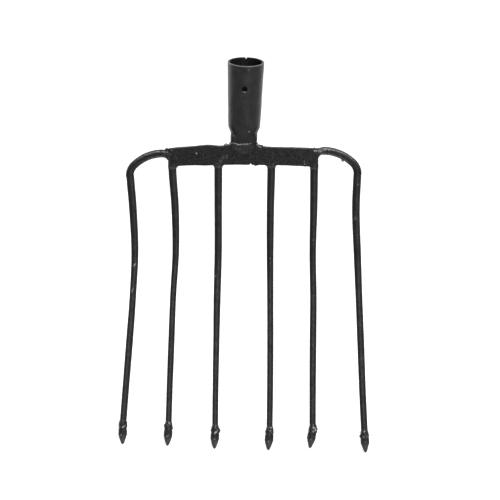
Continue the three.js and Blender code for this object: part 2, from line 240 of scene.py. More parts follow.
@dataclass
class Shape:
    """Vertices and faces in millimetres, gathered before a mesh is made."""

    points: list[Array] = field(default_factory=list)
    faces: list[tuple[int, ...]] = field(default_factory=list)
    edges: list[tuple[int, int]] = field(default_factory=list)
    count: int = 0

    def add(self, points: Array) -> int:
        """Adds points.

        Args:
            points: One row for each point.

        Returns:
            The number of the first point.
        """
        first = self.count
        self.points.append(points)
        self.count += len(points)
        return first

    def loft(self, rings: Array) -> None:
        """Adds a closed body through rings, which run right-handed about the way from first to last.

        Args:
            rings: Points by ring and place in the ring.
        """
        count, sides, _ = rings.shape
        first = self.add(rings.reshape(-1, 3))
        hubs = self.add(np.array([rings[0].mean(0), rings[-1].mean(0)]))
        last = first + (count - 1) * sides
        for i in range(sides):
            j = (i + 1) % sides
            for low in range(first, last, sides):
                high = low + sides
                self.faces.append((low + i, low + j, high + j, high + i))
            self.faces += [(hubs, first + j, first + i), (hubs + 1, last + i, last + j)]

    def path(self, points: Array, closed: bool = False) -> None:
        """Adds a run of loose edges, along which a tree lays its droplets or sweeps its rod.

        Args:
            points: Places along the run.
            closed: Whether the last place joins the first.
        """
        first = self.add(points)
        self.edges += [(first + i, first + i + 1) for i in range(len(points) - 1)]
        if closed:
            self.edges.append((first + len(points) - 1, first))

    def ball(self, centre: Array, radius: float) -> None:
        """Adds a closed ball, for a lump of weld.

        Args:
            centre: The ball's middle.
            radius: The ball's radius.
        """
        turn = full_turn(BALL_SIDES)
        circle = np.stack([np.cos(turn), np.sin(turn)], 1)
        rings = []
        for height in np.cos(np.linspace(math.pi, 0.0, BALL_SIDES // 2 + 1)[1:-1]):
            level = math.sqrt(1 - height * height) * circle
            rings.append(centre + radius * np.column_stack([level, np.full(BALL_SIDES, height)]))
        self.loft(np.array(rings))

    def piece(self, name: str) -> bpy.types.Object:
        """Makes the gathered shape an object.

        Args:
            name: The object's name.

        Returns:
            The object, at the origin and in metres.
        """
        mesh = bpy.data.meshes.new(name)
        mesh.from_pydata((np.concatenate(self.points) * MM).tolist(), self.edges, self.faces)
        mesh.update()
        made = bpy.data.objects.new(name, mesh)
        bpy.context.scene.collection.objects.link(made)
        return made


def settle(piece: bpy.types.Object) -> bpy.types.Object:
    """Turns a piece and its modifiers into one plain mesh.

    Args:
        piece: An object with modifiers.

    Returns:
        The same object, without modifiers.
    """
    graph = bpy.context.evaluated_depsgraph_get()
    shaped = piece.evaluated_get(graph)
    mesh = bpy.data.meshes.new_from_object(shaped, preserve_all_data_layers=True, depsgraph=graph)
    before = piece.data
    piece.modifiers.clear()
    piece.data = mesh
    mesh.name = piece.name
    bpy.data.meshes.remove(before)
    return piece


def vertex_rows(piece: bpy.types.Object, name: str) -> Array:
    """What a mesh says of its vertices.

    Args:
        piece: A plain mesh.
        name: "co" for the places, in metres, or "normal" for the ways out of the surface.

    Returns:
        One row for each vertex.
    """
    rows = np.empty(len(piece.data.vertices) * 3, np.float32)
    piece.data.vertices.foreach_get(name, rows)
    return rows.reshape(-1, 3).astype(float)


def vertex_places(piece: bpy.types.Object) -> Array:
    """Places of a piece's vertices, in millimetres."""
    return vertex_rows(piece, "co") / MM


@dataclass(frozen=True)
class Blob:
    """A drop of metal stuck to the work, in the head's frame, and how bright its painted highlight is."""

    place: Row
    radius: float
    bright: float = 0.0

    def mark(self, pose: HeadPose) -> Mark:
        """The painted highlight on its upper front."""
        spot = np.array(self.place) + HIGHLIGHT_WAY * self.radius
        return pose.mark(spot, self.radius * HIGHLIGHT_SHARE, self.bright)


def blobs(*rows: Row) -> tuple[Blob, ...]:
    """Blobs from rows of x, y, z, radius and, where one has a painted highlight, how bright."""
    return tuple(Blob(row[:3], *row[3:]) for row in rows)


def stick(piece: bpy.types.Object, drops: Sequence[Blob], pose: HeadPose) -> None:
    """Adds blobs to a finished mesh.

    Args:
        piece: A plain mesh.
        drops: Blobs in the head's frame.
        pose: The head's pose.
    """
    work = bmesh.new()
    work.from_mesh(piece.data)
    for blob in drops:
        place = Matrix.Translation(Vector(pose.place(blob.place) * MM))
        bmesh.ops.create_icosphere(work, subdivisions=BALL_STEPS, radius=blob.radius * MM, matrix=place)
    work.to_mesh(piece.data)
    work.free()


# Trees of nodes


class Tree:
    """A tree of nodes, with short ways to add to it."""

    def __init__(self, tree: bpy.types.NodeTree) -> None:
        """Takes the tree that nodes are added to."""
        self.tree = tree

    def node(self, kind: str, inputs: Optional[dict] = None, **settings: object) -> bpy.types.Node:
        """Adds a node.

        Args:
            kind: The node's type.
            inputs: Values or sockets, or a list of them, by the name or number of the input.
            settings: The node's own properties.

        Returns:
            The node.
        """
        made = self.tree.nodes.new(kind)
        for key, value in settings.items():
            setattr(made, key, value)
        for key, value in (inputs or {}).items():
            for one in value if isinstance(value, list) else [value]:
                if isinstance(one, Link):
                    self.tree.links.new(one, made.inputs[key])
                else:
                    made.inputs[key].default_value = one
        return made

    def made(self, kind: str, inputs: Optional[dict] = None, **settings: object) -> Link:
        """Adds a node and gives its first output."""
        return self.node(kind, inputs, **settings).outputs[0]

    def maths(self, operation: str, first: object, second: object) -> Link:
        """Adds a sum, a product or another result of two numbers."""
        return self.made("ShaderNodeMath", {0: first, 1: second}, operation=operation)


class Recipe(Tree):
    """A tree of geometry nodes with named inputs, which is run on a piece and then taken off it."""

    def __init__(self, name: str) -> None:
        """Starts a tree that takes and gives a geometry.

        Args:
            name: The tree's name.
        """
        super().__init__(bpy.data.node_groups.new(name, "GeometryNodeTree"))
        self.keys: dict[str, str] = {}
        for way in ("INPUT", "OUTPUT"):
            self.tree.interface.new_socket("Geometry", in_out=way, socket_type="NodeSocketGeometry")
        self.source = self.node("NodeGroupInput")
        self.result = self.node("NodeGroupOutput")

    @property
    def geometry(self) -> Link:
        """What the tree is run on."""
        return self.source.outputs["Geometry"]

    def size(self, name: str, kind: str = "Float") -> Link:
        """Adds a named input of the tree.

        Args:
            name: The input's name.
            kind: Its kind of value.

        Returns:
            The input, as the other nodes see it.
        """
        made = self.tree.interface.new_socket(name, in_out="INPUT", socket_type=f"NodeSocket{kind}")
        self.keys[name] = made.identifier
        return self.source.outputs[name]

    def triple(self, x: object, y: object, z: object) -> Link:
        """Adds a vector of three numbers."""
        return self.made("ShaderNodeCombineXYZ", {0: x, 1: y, 2: z})

    def swell(self, geometry: Link, width: object, depth: object, seed: object) -> Link:
        """Moves a surface in and out by smooth random bumps.

        Args:
            geometry: The surface.
            width: Width of a bump.
            depth: How far the highest bump goes out.
            seed: Fixes the bumps' pattern.

        Returns:
            The uneven surface.
        """
        scale = self.maths("DIVIDE", 1.0, width)
        given = {"Scale": scale, "Detail": 2.0, "W": seed}
        bumps = self.made("ShaderNodeTexNoise", given, noise_dimensions="4D")
        twice = self.maths("MULTIPLY", depth, 2.0)
        height = self.maths("MULTIPLY", self.maths("SUBTRACT", bumps, 0.5), twice)
        normal = self.made("GeometryNodeInputNormal")
        offset = self.made("ShaderNodeVectorMath", {0: normal, "Scale": height}, operation="SCALE")
        return self.made("GeometryNodeSetPosition", {"Geometry": geometry, "Offset": offset})

    def end(self, geometry: Link) -> None:
        """Ends the tree: copies are made real and the finish is set.

        Args:
            geometry: What the tree gives.
        """
        real = self.made("GeometryNodeRealizeInstances", {"Geometry": geometry})
        finish = self.size("Finish", "Material")
        dressed = self.made("GeometryNodeSetMaterial", {"Geometry": real, "Material": finish})
        self.tree.links.new(dressed, self.result.inputs[0])

    def run(self, piece: bpy.types.Object, values: dict[str, object]) -> None:
        """Puts the tree on a piece, with its inputs set.

        Args:
            piece: The object that the tree is run on.
            values: The inputs' values by their names.
        """
        modifier = piece.modifiers.new(self.tree.name, "NODES")
        modifier.node_group = self.tree
        for name, value in values.items():
            modifier[self.keys[name]] = value


def rod_recipe() -> Recipe:
    """Sweeps a round rod along a path whose points hold its radius.

    Returns:
        The tree.
    """
    recipe = Recipe("drawn rod")
    sides = recipe.size("Sides", "Int")
    dent_width, dent_depth = recipe.size("Dent Width"), recipe.size("Dent Depth")
    grain_width, grain_depth = recipe.size("Grain Width"), recipe.size("Grain Depth")
    seed = recipe.size("Seed")
    path = recipe.made("GeometryNodeMeshToCurve", {"Mesh": recipe.geometry})
    radius = recipe.made("GeometryNodeInputNamedAttribute", {"Name": "rod_radius"}, data_type="FLOAT")
    circle = {"Resolution": sides, "Radius": 1.0}
    ring = recipe.made("GeometryNodeCurvePrimitiveCircle", circle, mode="RADIUS")
    swept = recipe.made("GeometryNodeCurveToMesh",
                        {"Curve": path, "Profile Curve": ring, "Scale": radius, "Fill Caps": True})
    dented = recipe.swell(swept, dent_width, dent_depth, seed)
    recipe.end(recipe.swell(dented, grain_width, grain_depth, seed))
    return recipe


def weld_recipe() -> Recipe:
    """Lays overlapping droplets along a bead's loose edges and adds them to its body.

    Returns:
        The tree.
    """
    recipe = Recipe("weld run")
    step, droplet, flatness = recipe.size("Step"), recipe.size("Droplet"), recipe.size("Flatness")
    wander, spread = recipe.size("Wander"), recipe.size("Spread")
    seed = recipe.size("Seed", "Int")
    beside = recipe.made("GeometryNodeInputMeshEdgeNeighbors")
    loose = recipe.made("FunctionNodeCompare", {2: beside, 3: 0}, data_type="INT", operation="EQUAL")
    body = recipe.made("GeometryNodeDeleteGeometry", {"Geometry": recipe.geometry, "Selection": loose},
                       domain="EDGE", mode="ALL")
    run = recipe.made("GeometryNodeMeshToCurve", {"Mesh": recipe.geometry, "Selection": loose})
    places = recipe.node("GeometryNodeCurveToPoints", {"Curve": run, "Length": step}, mode="LENGTH")
    back = recipe.maths("MULTIPLY", wander, -1.0)
    low, high = recipe.triple(back, back, back), recipe.triple(wander, wander, wander)
    stray = recipe.made("FunctionNodeRandomValue", {0: low, 1: high, "Seed": seed}, data_type="FLOAT_VECTOR")
    strewn = recipe.made("GeometryNodeSetPosition", {"Geometry": places.outputs["Points"], "Offset": stray})
    least, most = recipe.maths("SUBTRACT", 1.0, spread), recipe.maths("ADD", 1.0, spread)
    chance = recipe.node("FunctionNodeRandomValue", {2: least, 3: most, "Seed": seed}, data_type="FLOAT")
    wide = recipe.maths("MULTIPLY", droplet, chance.outputs[1])
    scale = recipe.triple(wide, wide, recipe.maths("MULTIPLY", wide, flatness))
    drop = recipe.made("GeometryNodeMeshIcoSphere", {"Radius": 1.0, "Subdivisions": BALL_STEPS})
    laid = recipe.made("GeometryNodeInstanceOnPoints", {"Points": strewn, "Instance": drop, "Scale": scale,
                                                        "Rotation": places.outputs["Rotation"]})
    recipe.end(recipe.made("GeometryNodeJoinGeometry", {"Geometry": [body, laid]}))
    return recipe


# Finishes


def blank_material(name: str) -> tuple[bpy.types.Material, Tree]:
    """Makes a material.

    Args:
        name: The material's name.

    Returns:
        The material and its tree, which is empty.
    """
    made = bpy.data.materials.new(name)
    made.use_nodes = True
    made.node_tree.nodes.clear()
    return made, Tree(made.node_tree)


@dataclass(frozen=True)
class BlackPaint:
    """Black satin paint on steel, with painted highlights, pale spots and painted shade on side-on surfaces.

    The tones are linear greys, warmths are shares of them, widths and depths are in millimetres. A range is
    what the noise is between where the look goes from its least to its most.
    """

    name: str
    tone: float
    pale_tone: float
    grain_depth: float
    dent_width: float
    # painted shade: the tone that side-on surfaces fall to
    side_shade_tone: float = 0.006
    warmth: float = -0.04
    pale_warmth: float = 0.03
    # painted highlights and pale spots take this tone
    wear_and_highlight_tone: float = 0.5
    wear_and_highlight_warmth: float = 0.01
    dust_share: float = 2.2
    roughness: Row = (0.3, 0.46)
    rough_width: float = 3.0
    rough_detail: float = 3.0
    rough_range: Row = (0.3, 0.7)
    specular: float = 0.1
    patch_width: float = 9.0
    patch_detail: float = 4.0
    patch_range: Row = (0.38, 0.66)
    speck_width: float = 1.3
    speck_range: Row = (0.62, 0.74)
    speck_share: float = 0.4
    mark_break_width: float = 0.9
    mark_break_range: Row = (0.3, 0.6)
    least_mark_share: float = 0.35
    grain_width: float = 1.1
    dent_depth: float = 0.25

    def material(self) -> bpy.types.Material:
        """Builds the finish from noise on the object's own coordinates and the attributes of its mesh.

        Returns:
            The material.
        """
        made, tree = blank_material(self.name)
        paint = PaintNodes(tree.tree)
        patches = paint.ramp(paint.noise(self.patch_width, self.patch_detail), self.patch_range, (0.0, 1.0))
        specks = paint.ramp(paint.noise(self.speck_width), self.speck_range, (0.0, self.speck_share))
        # painted highlights and pale spots from the mesh's marks and streaks, broken up by noise
        uneven = paint.ramp(paint.noise(self.mark_break_width), self.mark_break_range, (self.least_mark_share, 1.0))
        wear = paint.maths("MULTIPLY", paint.held("wear"), uneven)
        pale = paint.grey(self.pale_tone, self.pale_warmth)
        tone = paint.mix(patches, paint.grey(self.tone, self.warmth), pale)
        dusty = paint.mix(specks, tone, paint.grey(self.pale_tone * self.dust_share))
        # painted shade: side-on surfaces fall to the deep tone
        faced = paint.mix(paint.held("dust"), paint.grey(self.side_shade_tone), dusty)
        uneven_gloss = paint.noise(self.rough_width, self.rough_detail)
        dents = paint.bump(self.dent_width, self.dent_depth)
        shader = paint.made("ShaderNodeBsdfPrincipled", {
            "Specular IOR Level": self.specular,
            "Base Color": paint.mix(wear, faced, paint.grey(self.wear_and_highlight_tone, self.wear_and_highlight_warmth)),
            "Roughness": paint.ramp(uneven_gloss, self.rough_range, self.roughness),
            "Normal": paint.bump(self.grain_width, self.grain_depth, dents),
        })
        paint.node("ShaderNodeOutputMaterial", {0: shader})
        return made


class PaintNodes(Tree):
    """Adds the nodes that the finishes share."""

    def __init__(self, tree: bpy.types.NodeTree) -> None:
        """Takes the material's tree."""
        super().__init__(tree)
        self.place = self.node("ShaderNodeTexCoord").outputs["Object"]

    def noise(self, width: float, detail: float = 2.0) -> Link:
        """Noise whose patches are about the given width, in millimetres."""
        scale = 1.0 / (width * MM)
        return self.made("ShaderNodeTexNoise", {"Scale": scale, "Detail": detail, "Vector": self.place})

    def ramp(self, value: Link, given: Row, wanted: Row) -> Link:
        """Turns a value in the range given into one in the range wanted."""
        ends = {"From Min": given[0], "From Max": given[1], "To Min": wanted[0], "To Max": wanted[1]}
        return self.made("ShaderNodeMapRange", {"Value": value, **ends})

    def grey(self, tone: float, warmth: float = 0.0) -> Row:
        """A grey that leans to warm or to cool by a share of its tone."""
        return (tone * (1.0 + warmth), tone, tone * (1.0 - warmth), 1.0)

    def mix(self, share: Link, first: object, second: object) -> Link:
        """Mix of two colours, each a socket or a value."""
        return self.node("ShaderNodeMix", {0: share, 6: first, 7: second}, data_type="RGBA").outputs[2]

    def held(self, name: str) -> Link:
        """Value that the mesh holds under a name."""
        return self.node("ShaderNodeAttribute", attribute_name=name).outputs["Fac"]

    def bump(self, width: float, depth: float, under: Optional[Link] = None) -> Link:
        """Bumps of a width and depth in millimetres, on top of the normal given."""
        below = {} if under is None else {"Normal": under}
        return self.made("ShaderNodeBump", {"Distance": depth * MM, "Height": self.noise(width), **below})


@dataclass
class Finishes:
    """The five painted surfaces of the head, by the record's slots.

    Painted shade: the paint falls to a deep tone where a surface turns side-on to a way near the camera's.
    """

    # painted shade: surfaces side-on to this way, near the camera's, fall to the deep tone
    painted_light_way: Row = (0.35, -0.9, 0.25)
    painted_light_range: Row = (0.2, 0.9)

    def __post_init__(self) -> None:
        """Builds each material once."""
        paints = {
            "sheet": BlackPaint("sheet paint", tone=0.011, pale_tone=0.02, roughness=(0.26, 0.38),
                                specular=0.14, grain_width=1.3, grain_depth=0.17, dent_width=7.0),
            "bar": BlackPaint("bar paint", tone=0.004, pale_tone=0.021, patch_width=1.7, grain_width=1.4,
                              grain_depth=0.24, dent_width=3.2, dent_depth=0.3),
            "rod": BlackPaint("rod paint", tone=0.012, pale_tone=0.021, roughness=(0.2, 0.34), specular=0.065,
                              dent_width=5.0, dent_depth=0.1, grain_depth=0.05),
            "spike": BlackPaint("spike paint", tone=0.004, pale_tone=0.026, patch_width=1.7, dent_width=2.2,
                                dent_depth=0.3, grain_width=1.2, grain_depth=0.16),
            "weld": BlackPaint("weld paint", tone=0.004, pale_tone=0.026, patch_width=1.8, specular=0.16,
                               roughness=(0.2, 0.34), grain_depth=0.16, dent_width=1.8, dent_depth=0.35),
        }
        self.materials = {slot: paint.material() for slot, paint in paints.items()}

    def dress(self, piece: bpy.types.Object, slot: str, node: str, marks: Sequence[Mark] = (),
              painted_highlight: Optional[Array] = None, darkening: Optional[Array] = None) -> bpy.types.Object:
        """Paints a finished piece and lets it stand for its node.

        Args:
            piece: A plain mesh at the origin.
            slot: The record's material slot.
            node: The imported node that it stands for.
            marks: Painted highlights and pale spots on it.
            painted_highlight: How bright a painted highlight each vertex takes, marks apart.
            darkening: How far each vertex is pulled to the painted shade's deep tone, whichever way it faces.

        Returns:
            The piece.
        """
        places = vertex_places(piece)
        # painted highlights: the streaks and the marks brighten the paint
        wear = np.zeros(len(places)) if painted_highlight is None else painted_highlight
        for mark in marks:
            away = np.linalg.norm(places - np.array(mark.place), axis=1)
            wear = np.maximum(wear, mark.strength * np.exp(-((away / mark.reach) ** 2)))
        # painted shade: how far each vertex faces the painted light's way, or the reverse
        facing = np.abs(vertex_rows(piece, "normal") @ unit(np.array(self.painted_light_way)))
        dust = smoothstep(facing, *self.painted_light_range) * (1.0 if darkening is None else 1.0 - darkening)
        for name, values in (("wear", wear), ("dust", dust)):
            attribute = piece.data.attributes.new(name, "FLOAT", "POINT")
            attribute.data.foreach_set("value", values.astype(np.float32))
        piece.data.materials.clear()
        piece.data.materials.append(self.materials[slot])
        piece.data.shade_smooth()
        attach(piece, BODY)
        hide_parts(node)
        LOG.info("%s: %d vertices, for %s", piece.name, len(places), node)
        return piece


# Socket


@dataclass
class Socket:
    """Socket rolled from sheet to a taper, with a shoulder and a flattened neck at its foot.

    The sides are drawn in to the neck over the shoulder, front and back over the front blend. Marks on the
    rim and on the hole's lip are painted highlights, given as a reach and how bright; spots, a painted glint
    and small painted highlights with a few faint pale patches, are x, y, z and the same. The drill starts
    some walls' thickness inside the sheet.
    """

    mouth_diameter: float = 40.0
    body_foot_diameter: float = 35.4
    wall: float = 2.0
    body_length: float = 72.8
    shoulder_length: float = 10.4
    neck_width: float = 29.2
    neck_depth: float = 16.0
    rim_round: float = 0.6
    seam_width: float = 0.9
    seam_depth: float = 0.8
    seam_reach: float = 2.0
    seam_columns: int = 14
    foot_sink: float = 0.4
    nick_width: float = 2.4
    nick_depth: float = 1.8
    nick_reach: float = 7.0
    hole_diameter: float = 6.0
    hole_drop: float = 26.0
    hole_shift: float = -0.5
    hole_chamfer: float = 0.55
    hole_sides: int = 40
    drill_walls: float = 3.0
    columns: int = 230
    rows: int = 150
    rim_steps: int = 4
    slope_step: float = 0.01
    front_blend: Row = (66.0, 91.0)
    dent_width: float = 16.0
    dent_depth: float = 0.22
    dent_seed: float = 3.1
    neck_dent_depth: float = 0.4
    # darkens the neck towards the painted shade's deep tone
    neck_darkening: float = 0.35
    neck_pit_width: float = 2.0
    neck_pit_depth: float = 0.28
    neck_pit_seed: float = 5.3
    # painted highlights round the rim and on the hole's lip
    rim_marks: int = 160
    rim_highlight: Row = (0.62, 0.42)
    lip_share: float = 0.6
    lip_lift: float = 0.2
    lip_angles: Row = (-24.0, -12.0, 0.0, 12.0, 24.0)
    lip_highlight: Row = (0.5, 0.8)
    # a painted glint on the neck, small painted highlights and faint pale patches
    spots: tuple[Row, ...] = (
        (3.2, -19.7, -3.2, 0.6, 0.5), (5.5, -13.1, -76.1, 0.8, 1.5), (-11.5, -6.6, -83.3, 1.5, 0.28),
        (-10.4, -6.9, -86.0, 1.8, 0.06), (-13.5, -14.6, -4.0, 0.8, 0.1), (-3.0, -17.6, -61.9, 0.8, 0.08),
    )

    def half(self, height: Array, neck_size: float, blend: Row) -> Array:
        """Half the socket's width or depth.

        Args:
            height: Heights, which fall below the mouth.
            neck_size: The neck's width or depth.
            blend: Where the sheet starts to be drawn in to the neck, and where it ends.

        Returns:
            One half size for each height.
        """
        taper = (self.mouth_diameter - self.body_foot_diameter) / self.body_length
        body = (self.mouth_diameter + taper * np.maximum(height, -self.body_length)) / 2.0
        return lerp(body, neck_size / 2.0, smoothstep(-height, *blend))

    def wide(self, height: Array) -> Array:
        """Half the socket's width at a height."""
        return self.half(height, self.neck_width, (self.body_length, self.body_length + self.shoulder_length))

    def deep(self, height: Array) -> Array:
        """Half the socket's depth at a height."""
        return self.half(height, self.neck_depth, self.front_blend)

    def point(self, angle: Array, height: Array, inset: Array) -> Array:
        """Points of the sheet.

        Args:
            angle: Angles from +X.
            height: Heights.
            inset: Ways inwards, square to the sheet.

        Returns:
            One point for each.
        """
        wide, deep = self.wide(height), self.deep(height)
        step = self.slope_step
        wide_slope = (self.wide(height + step) - wide) / step
        deep_slope = (self.deep(height + step) - deep) / step
        cos, sin = np.cos(angle), np.sin(angle)
        rise = -(wide_slope * deep * cos**2 + deep_slope * wide * sin**2)
        out = unit(np.stack([deep * cos, wide * sin, rise], -1))
        return np.stack([wide * cos, deep * sin, height], -1) - out * np.asarray(inset)[..., None]

    def section(self) -> tuple[Array, Array, Array]:
        """The wall's closed outline, point by point.

        Returns:
            Share of the height, inset and height over the wall's end.
        """
        shares = np.linspace(0.0, 1.0, self.rows)
        turn = np.linspace(0.0, math.pi / 2, self.rim_steps + 1)
        radius = self.rim_round
        bend = radius * (1.0 - np.cos(turn))
        rise = radius * np.sin(turn) - radius
        outer, inner = np.full(self.rows, -COAT), np.full(self.rows, self.wall)
        inset = np.concatenate([outer, bend - COAT, (self.wall - bend)[::-1], inner])
        share = np.concatenate([shares, np.ones(2 * len(turn)), shares[::-1]])
        over = np.concatenate([-radius * shares, rise, rise[::-1], -radius * shares[::-1]]) + COAT * share
        return share, inset, over

    def columns_from_seam(self) -> Array:
        """Angles of the sheet's columns.

        Returns:
            Angles from the seam, in radians, close together beside it.
        """
        shares = np.linspace(0.0, 1.0, self.seam_columns + 1)[:-1]
        fine = self.seam_reach * shares / (self.mouth_diameter / 2.0)
        middle = np.linspace(fine[-1], 2.0 * math.pi - fine[-1], self.columns)[1:-1]
        return np.concatenate([fine, middle, 2.0 * math.pi - fine[:0:-1]])

    def shell(self, pose: HeadPose) -> Shape:
        """The rolled sheet, whose edges meet in a groove down the back.

        Args:
            pose: The head's pose.

        Returns:
            Its shape.
        """
        share, inset, over = self.section()
        turn = self.columns_from_seam()
        angle = math.pi / 2 + turn
        from_seam = np.minimum(turn, 2.0 * math.pi - turn) * self.mouth_diameter / 2.0
        nick = self.nick_depth * wedge(from_seam, self.nick_width)
        groove = np.exp(-((2.0 * from_seam / self.seam_width) ** 2))[:, None]
        outside = (inset < self.wall / 2.0)[None, :]
        angles, shares = np.meshgrid(angle, share, indexing="ij")
        foot = self.point(angle, np.full(len(angle), -pose.drop), np.zeros(len(angle)))
        foot_height = pose.level(foot, -self.foot_sink)[:, None]
        height = lerp(foot_height, 0.0, shares) + over[None, :]
        height = height - nick[:, None] * np.clip(1.0 + height / self.nick_reach, 0.0, 1.0)
        sunk = inset[None, :] + groove * np.where(outside, self.seam_depth, -self.seam_depth / 2.0)
        points = self.point(angles, height, sunk)
        low = smoothstep(-height, self.body_length, pose.drop)
        push = unevenness(points, self.dent_width, self.dent_seed)
        push = push * lerp(self.dent_depth, self.neck_dent_depth, low)
        push = push * smoothstep(-height, 0.0, self.nick_reach)
        pits = unevenness(points, self.neck_pit_width, self.neck_pit_seed)
        push += np.where(outside, self.neck_pit_depth, 0.0) * np.sqrt(low) * pits
        points = points + unit(points * UPRIGHT) * push[..., None]
        return self.skin(points)

    def skin(self, points: Array) -> Shape:
        """Faces over the closed grid of the sheet's points.

        Args:
            points: Points by column and place in the wall.

        Returns:
            The closed shape.
        """
        shape = Shape()
        columns, around = points.shape[:2]
        shape.add(points.reshape(-1, 3))
        for c in range(columns):
            d = (c + 1) % columns
            for r in range(around):
                n = (r + 1) % around
                shape.faces.append((d * around + r, d * around + n, c * around + n, c * around + r))
        return shape

    def drill(self) -> Shape:
        """Cutter of the screw hole, which widens to a chamfer at the sheet's outside.

        Returns:
            Its shape.
        """
        surface = float(self.deep(np.array(-self.hole_drop))) + COAT
        radius, bevel = self.hole_diameter / 2.0, self.hole_chamfer
        stops = [(surface - self.drill_walls * self.wall, radius), (surface - bevel, radius),
                 (surface, radius + bevel), (surface + self.wall, radius + bevel + self.wall)]
        turn = full_turn(self.hole_sides)
        rings = []
        for along, r in stops:
            x, z = self.hole_shift + r * np.cos(turn), -self.hole_drop + r * np.sin(turn)
            rings.append(np.stack([x, np.full(len(turn), -along), z], 1))
        shape = Shape()
        shape.loft(np.array(rings))
        return shape

    def build(self, pose: HeadPose, finishes: Finishes) -> bpy.types.Object:
        """Builds the sheet, drills it and paints it.

        Args:
            pose: The head's pose.
            finishes: The finishes.

        Returns:
            The painted sheet.
        """
        sheet = self.shell(pose).piece("socket_sheet")
        cutter = self.drill().piece("screw_hole_cutter")
        cut = sheet.modifiers.new("screw hole", "BOOLEAN")
        cut.operation, cut.solver, cut.object = "DIFFERENCE", "EXACT", cutter
        settle(sheet)
        bpy.data.objects.remove(cutter)
        marks = [Mark(spot[:3], *spot[3:]) for spot in self.spots]
        rim = self.mouth_diameter / 2.0
        # painted highlight round the rim's top edge
        for a in full_turn(self.rim_marks):
            marks.append(Mark((rim * math.cos(a), rim * math.sin(a), COAT), *self.rim_highlight))
        lip = self.hole_diameter / 2.0 + self.hole_chamfer * self.lip_share
        front = float(self.deep(np.array(-self.hole_drop)))
        # painted highlight on the hole's lower lip
        for a in np.radians(self.lip_angles):
            x, z = self.hole_shift + lip * math.sin(a), -self.hole_drop - lip * math.cos(a)
            marks.append(Mark((x, -front + self.lip_lift, z), *self.lip_highlight))
        # the neck is darkened towards the painted shade's deep tone
        start, stop = self.body_length - self.shoulder_length, self.body_length + self.shoulder_length
        low = smoothstep(-vertex_places(sheet)[:, 2], start, stop)
        return finishes.dress(sheet, "sheet", "socket", marks, darkening=self.neck_darkening * low)


# Crossbar


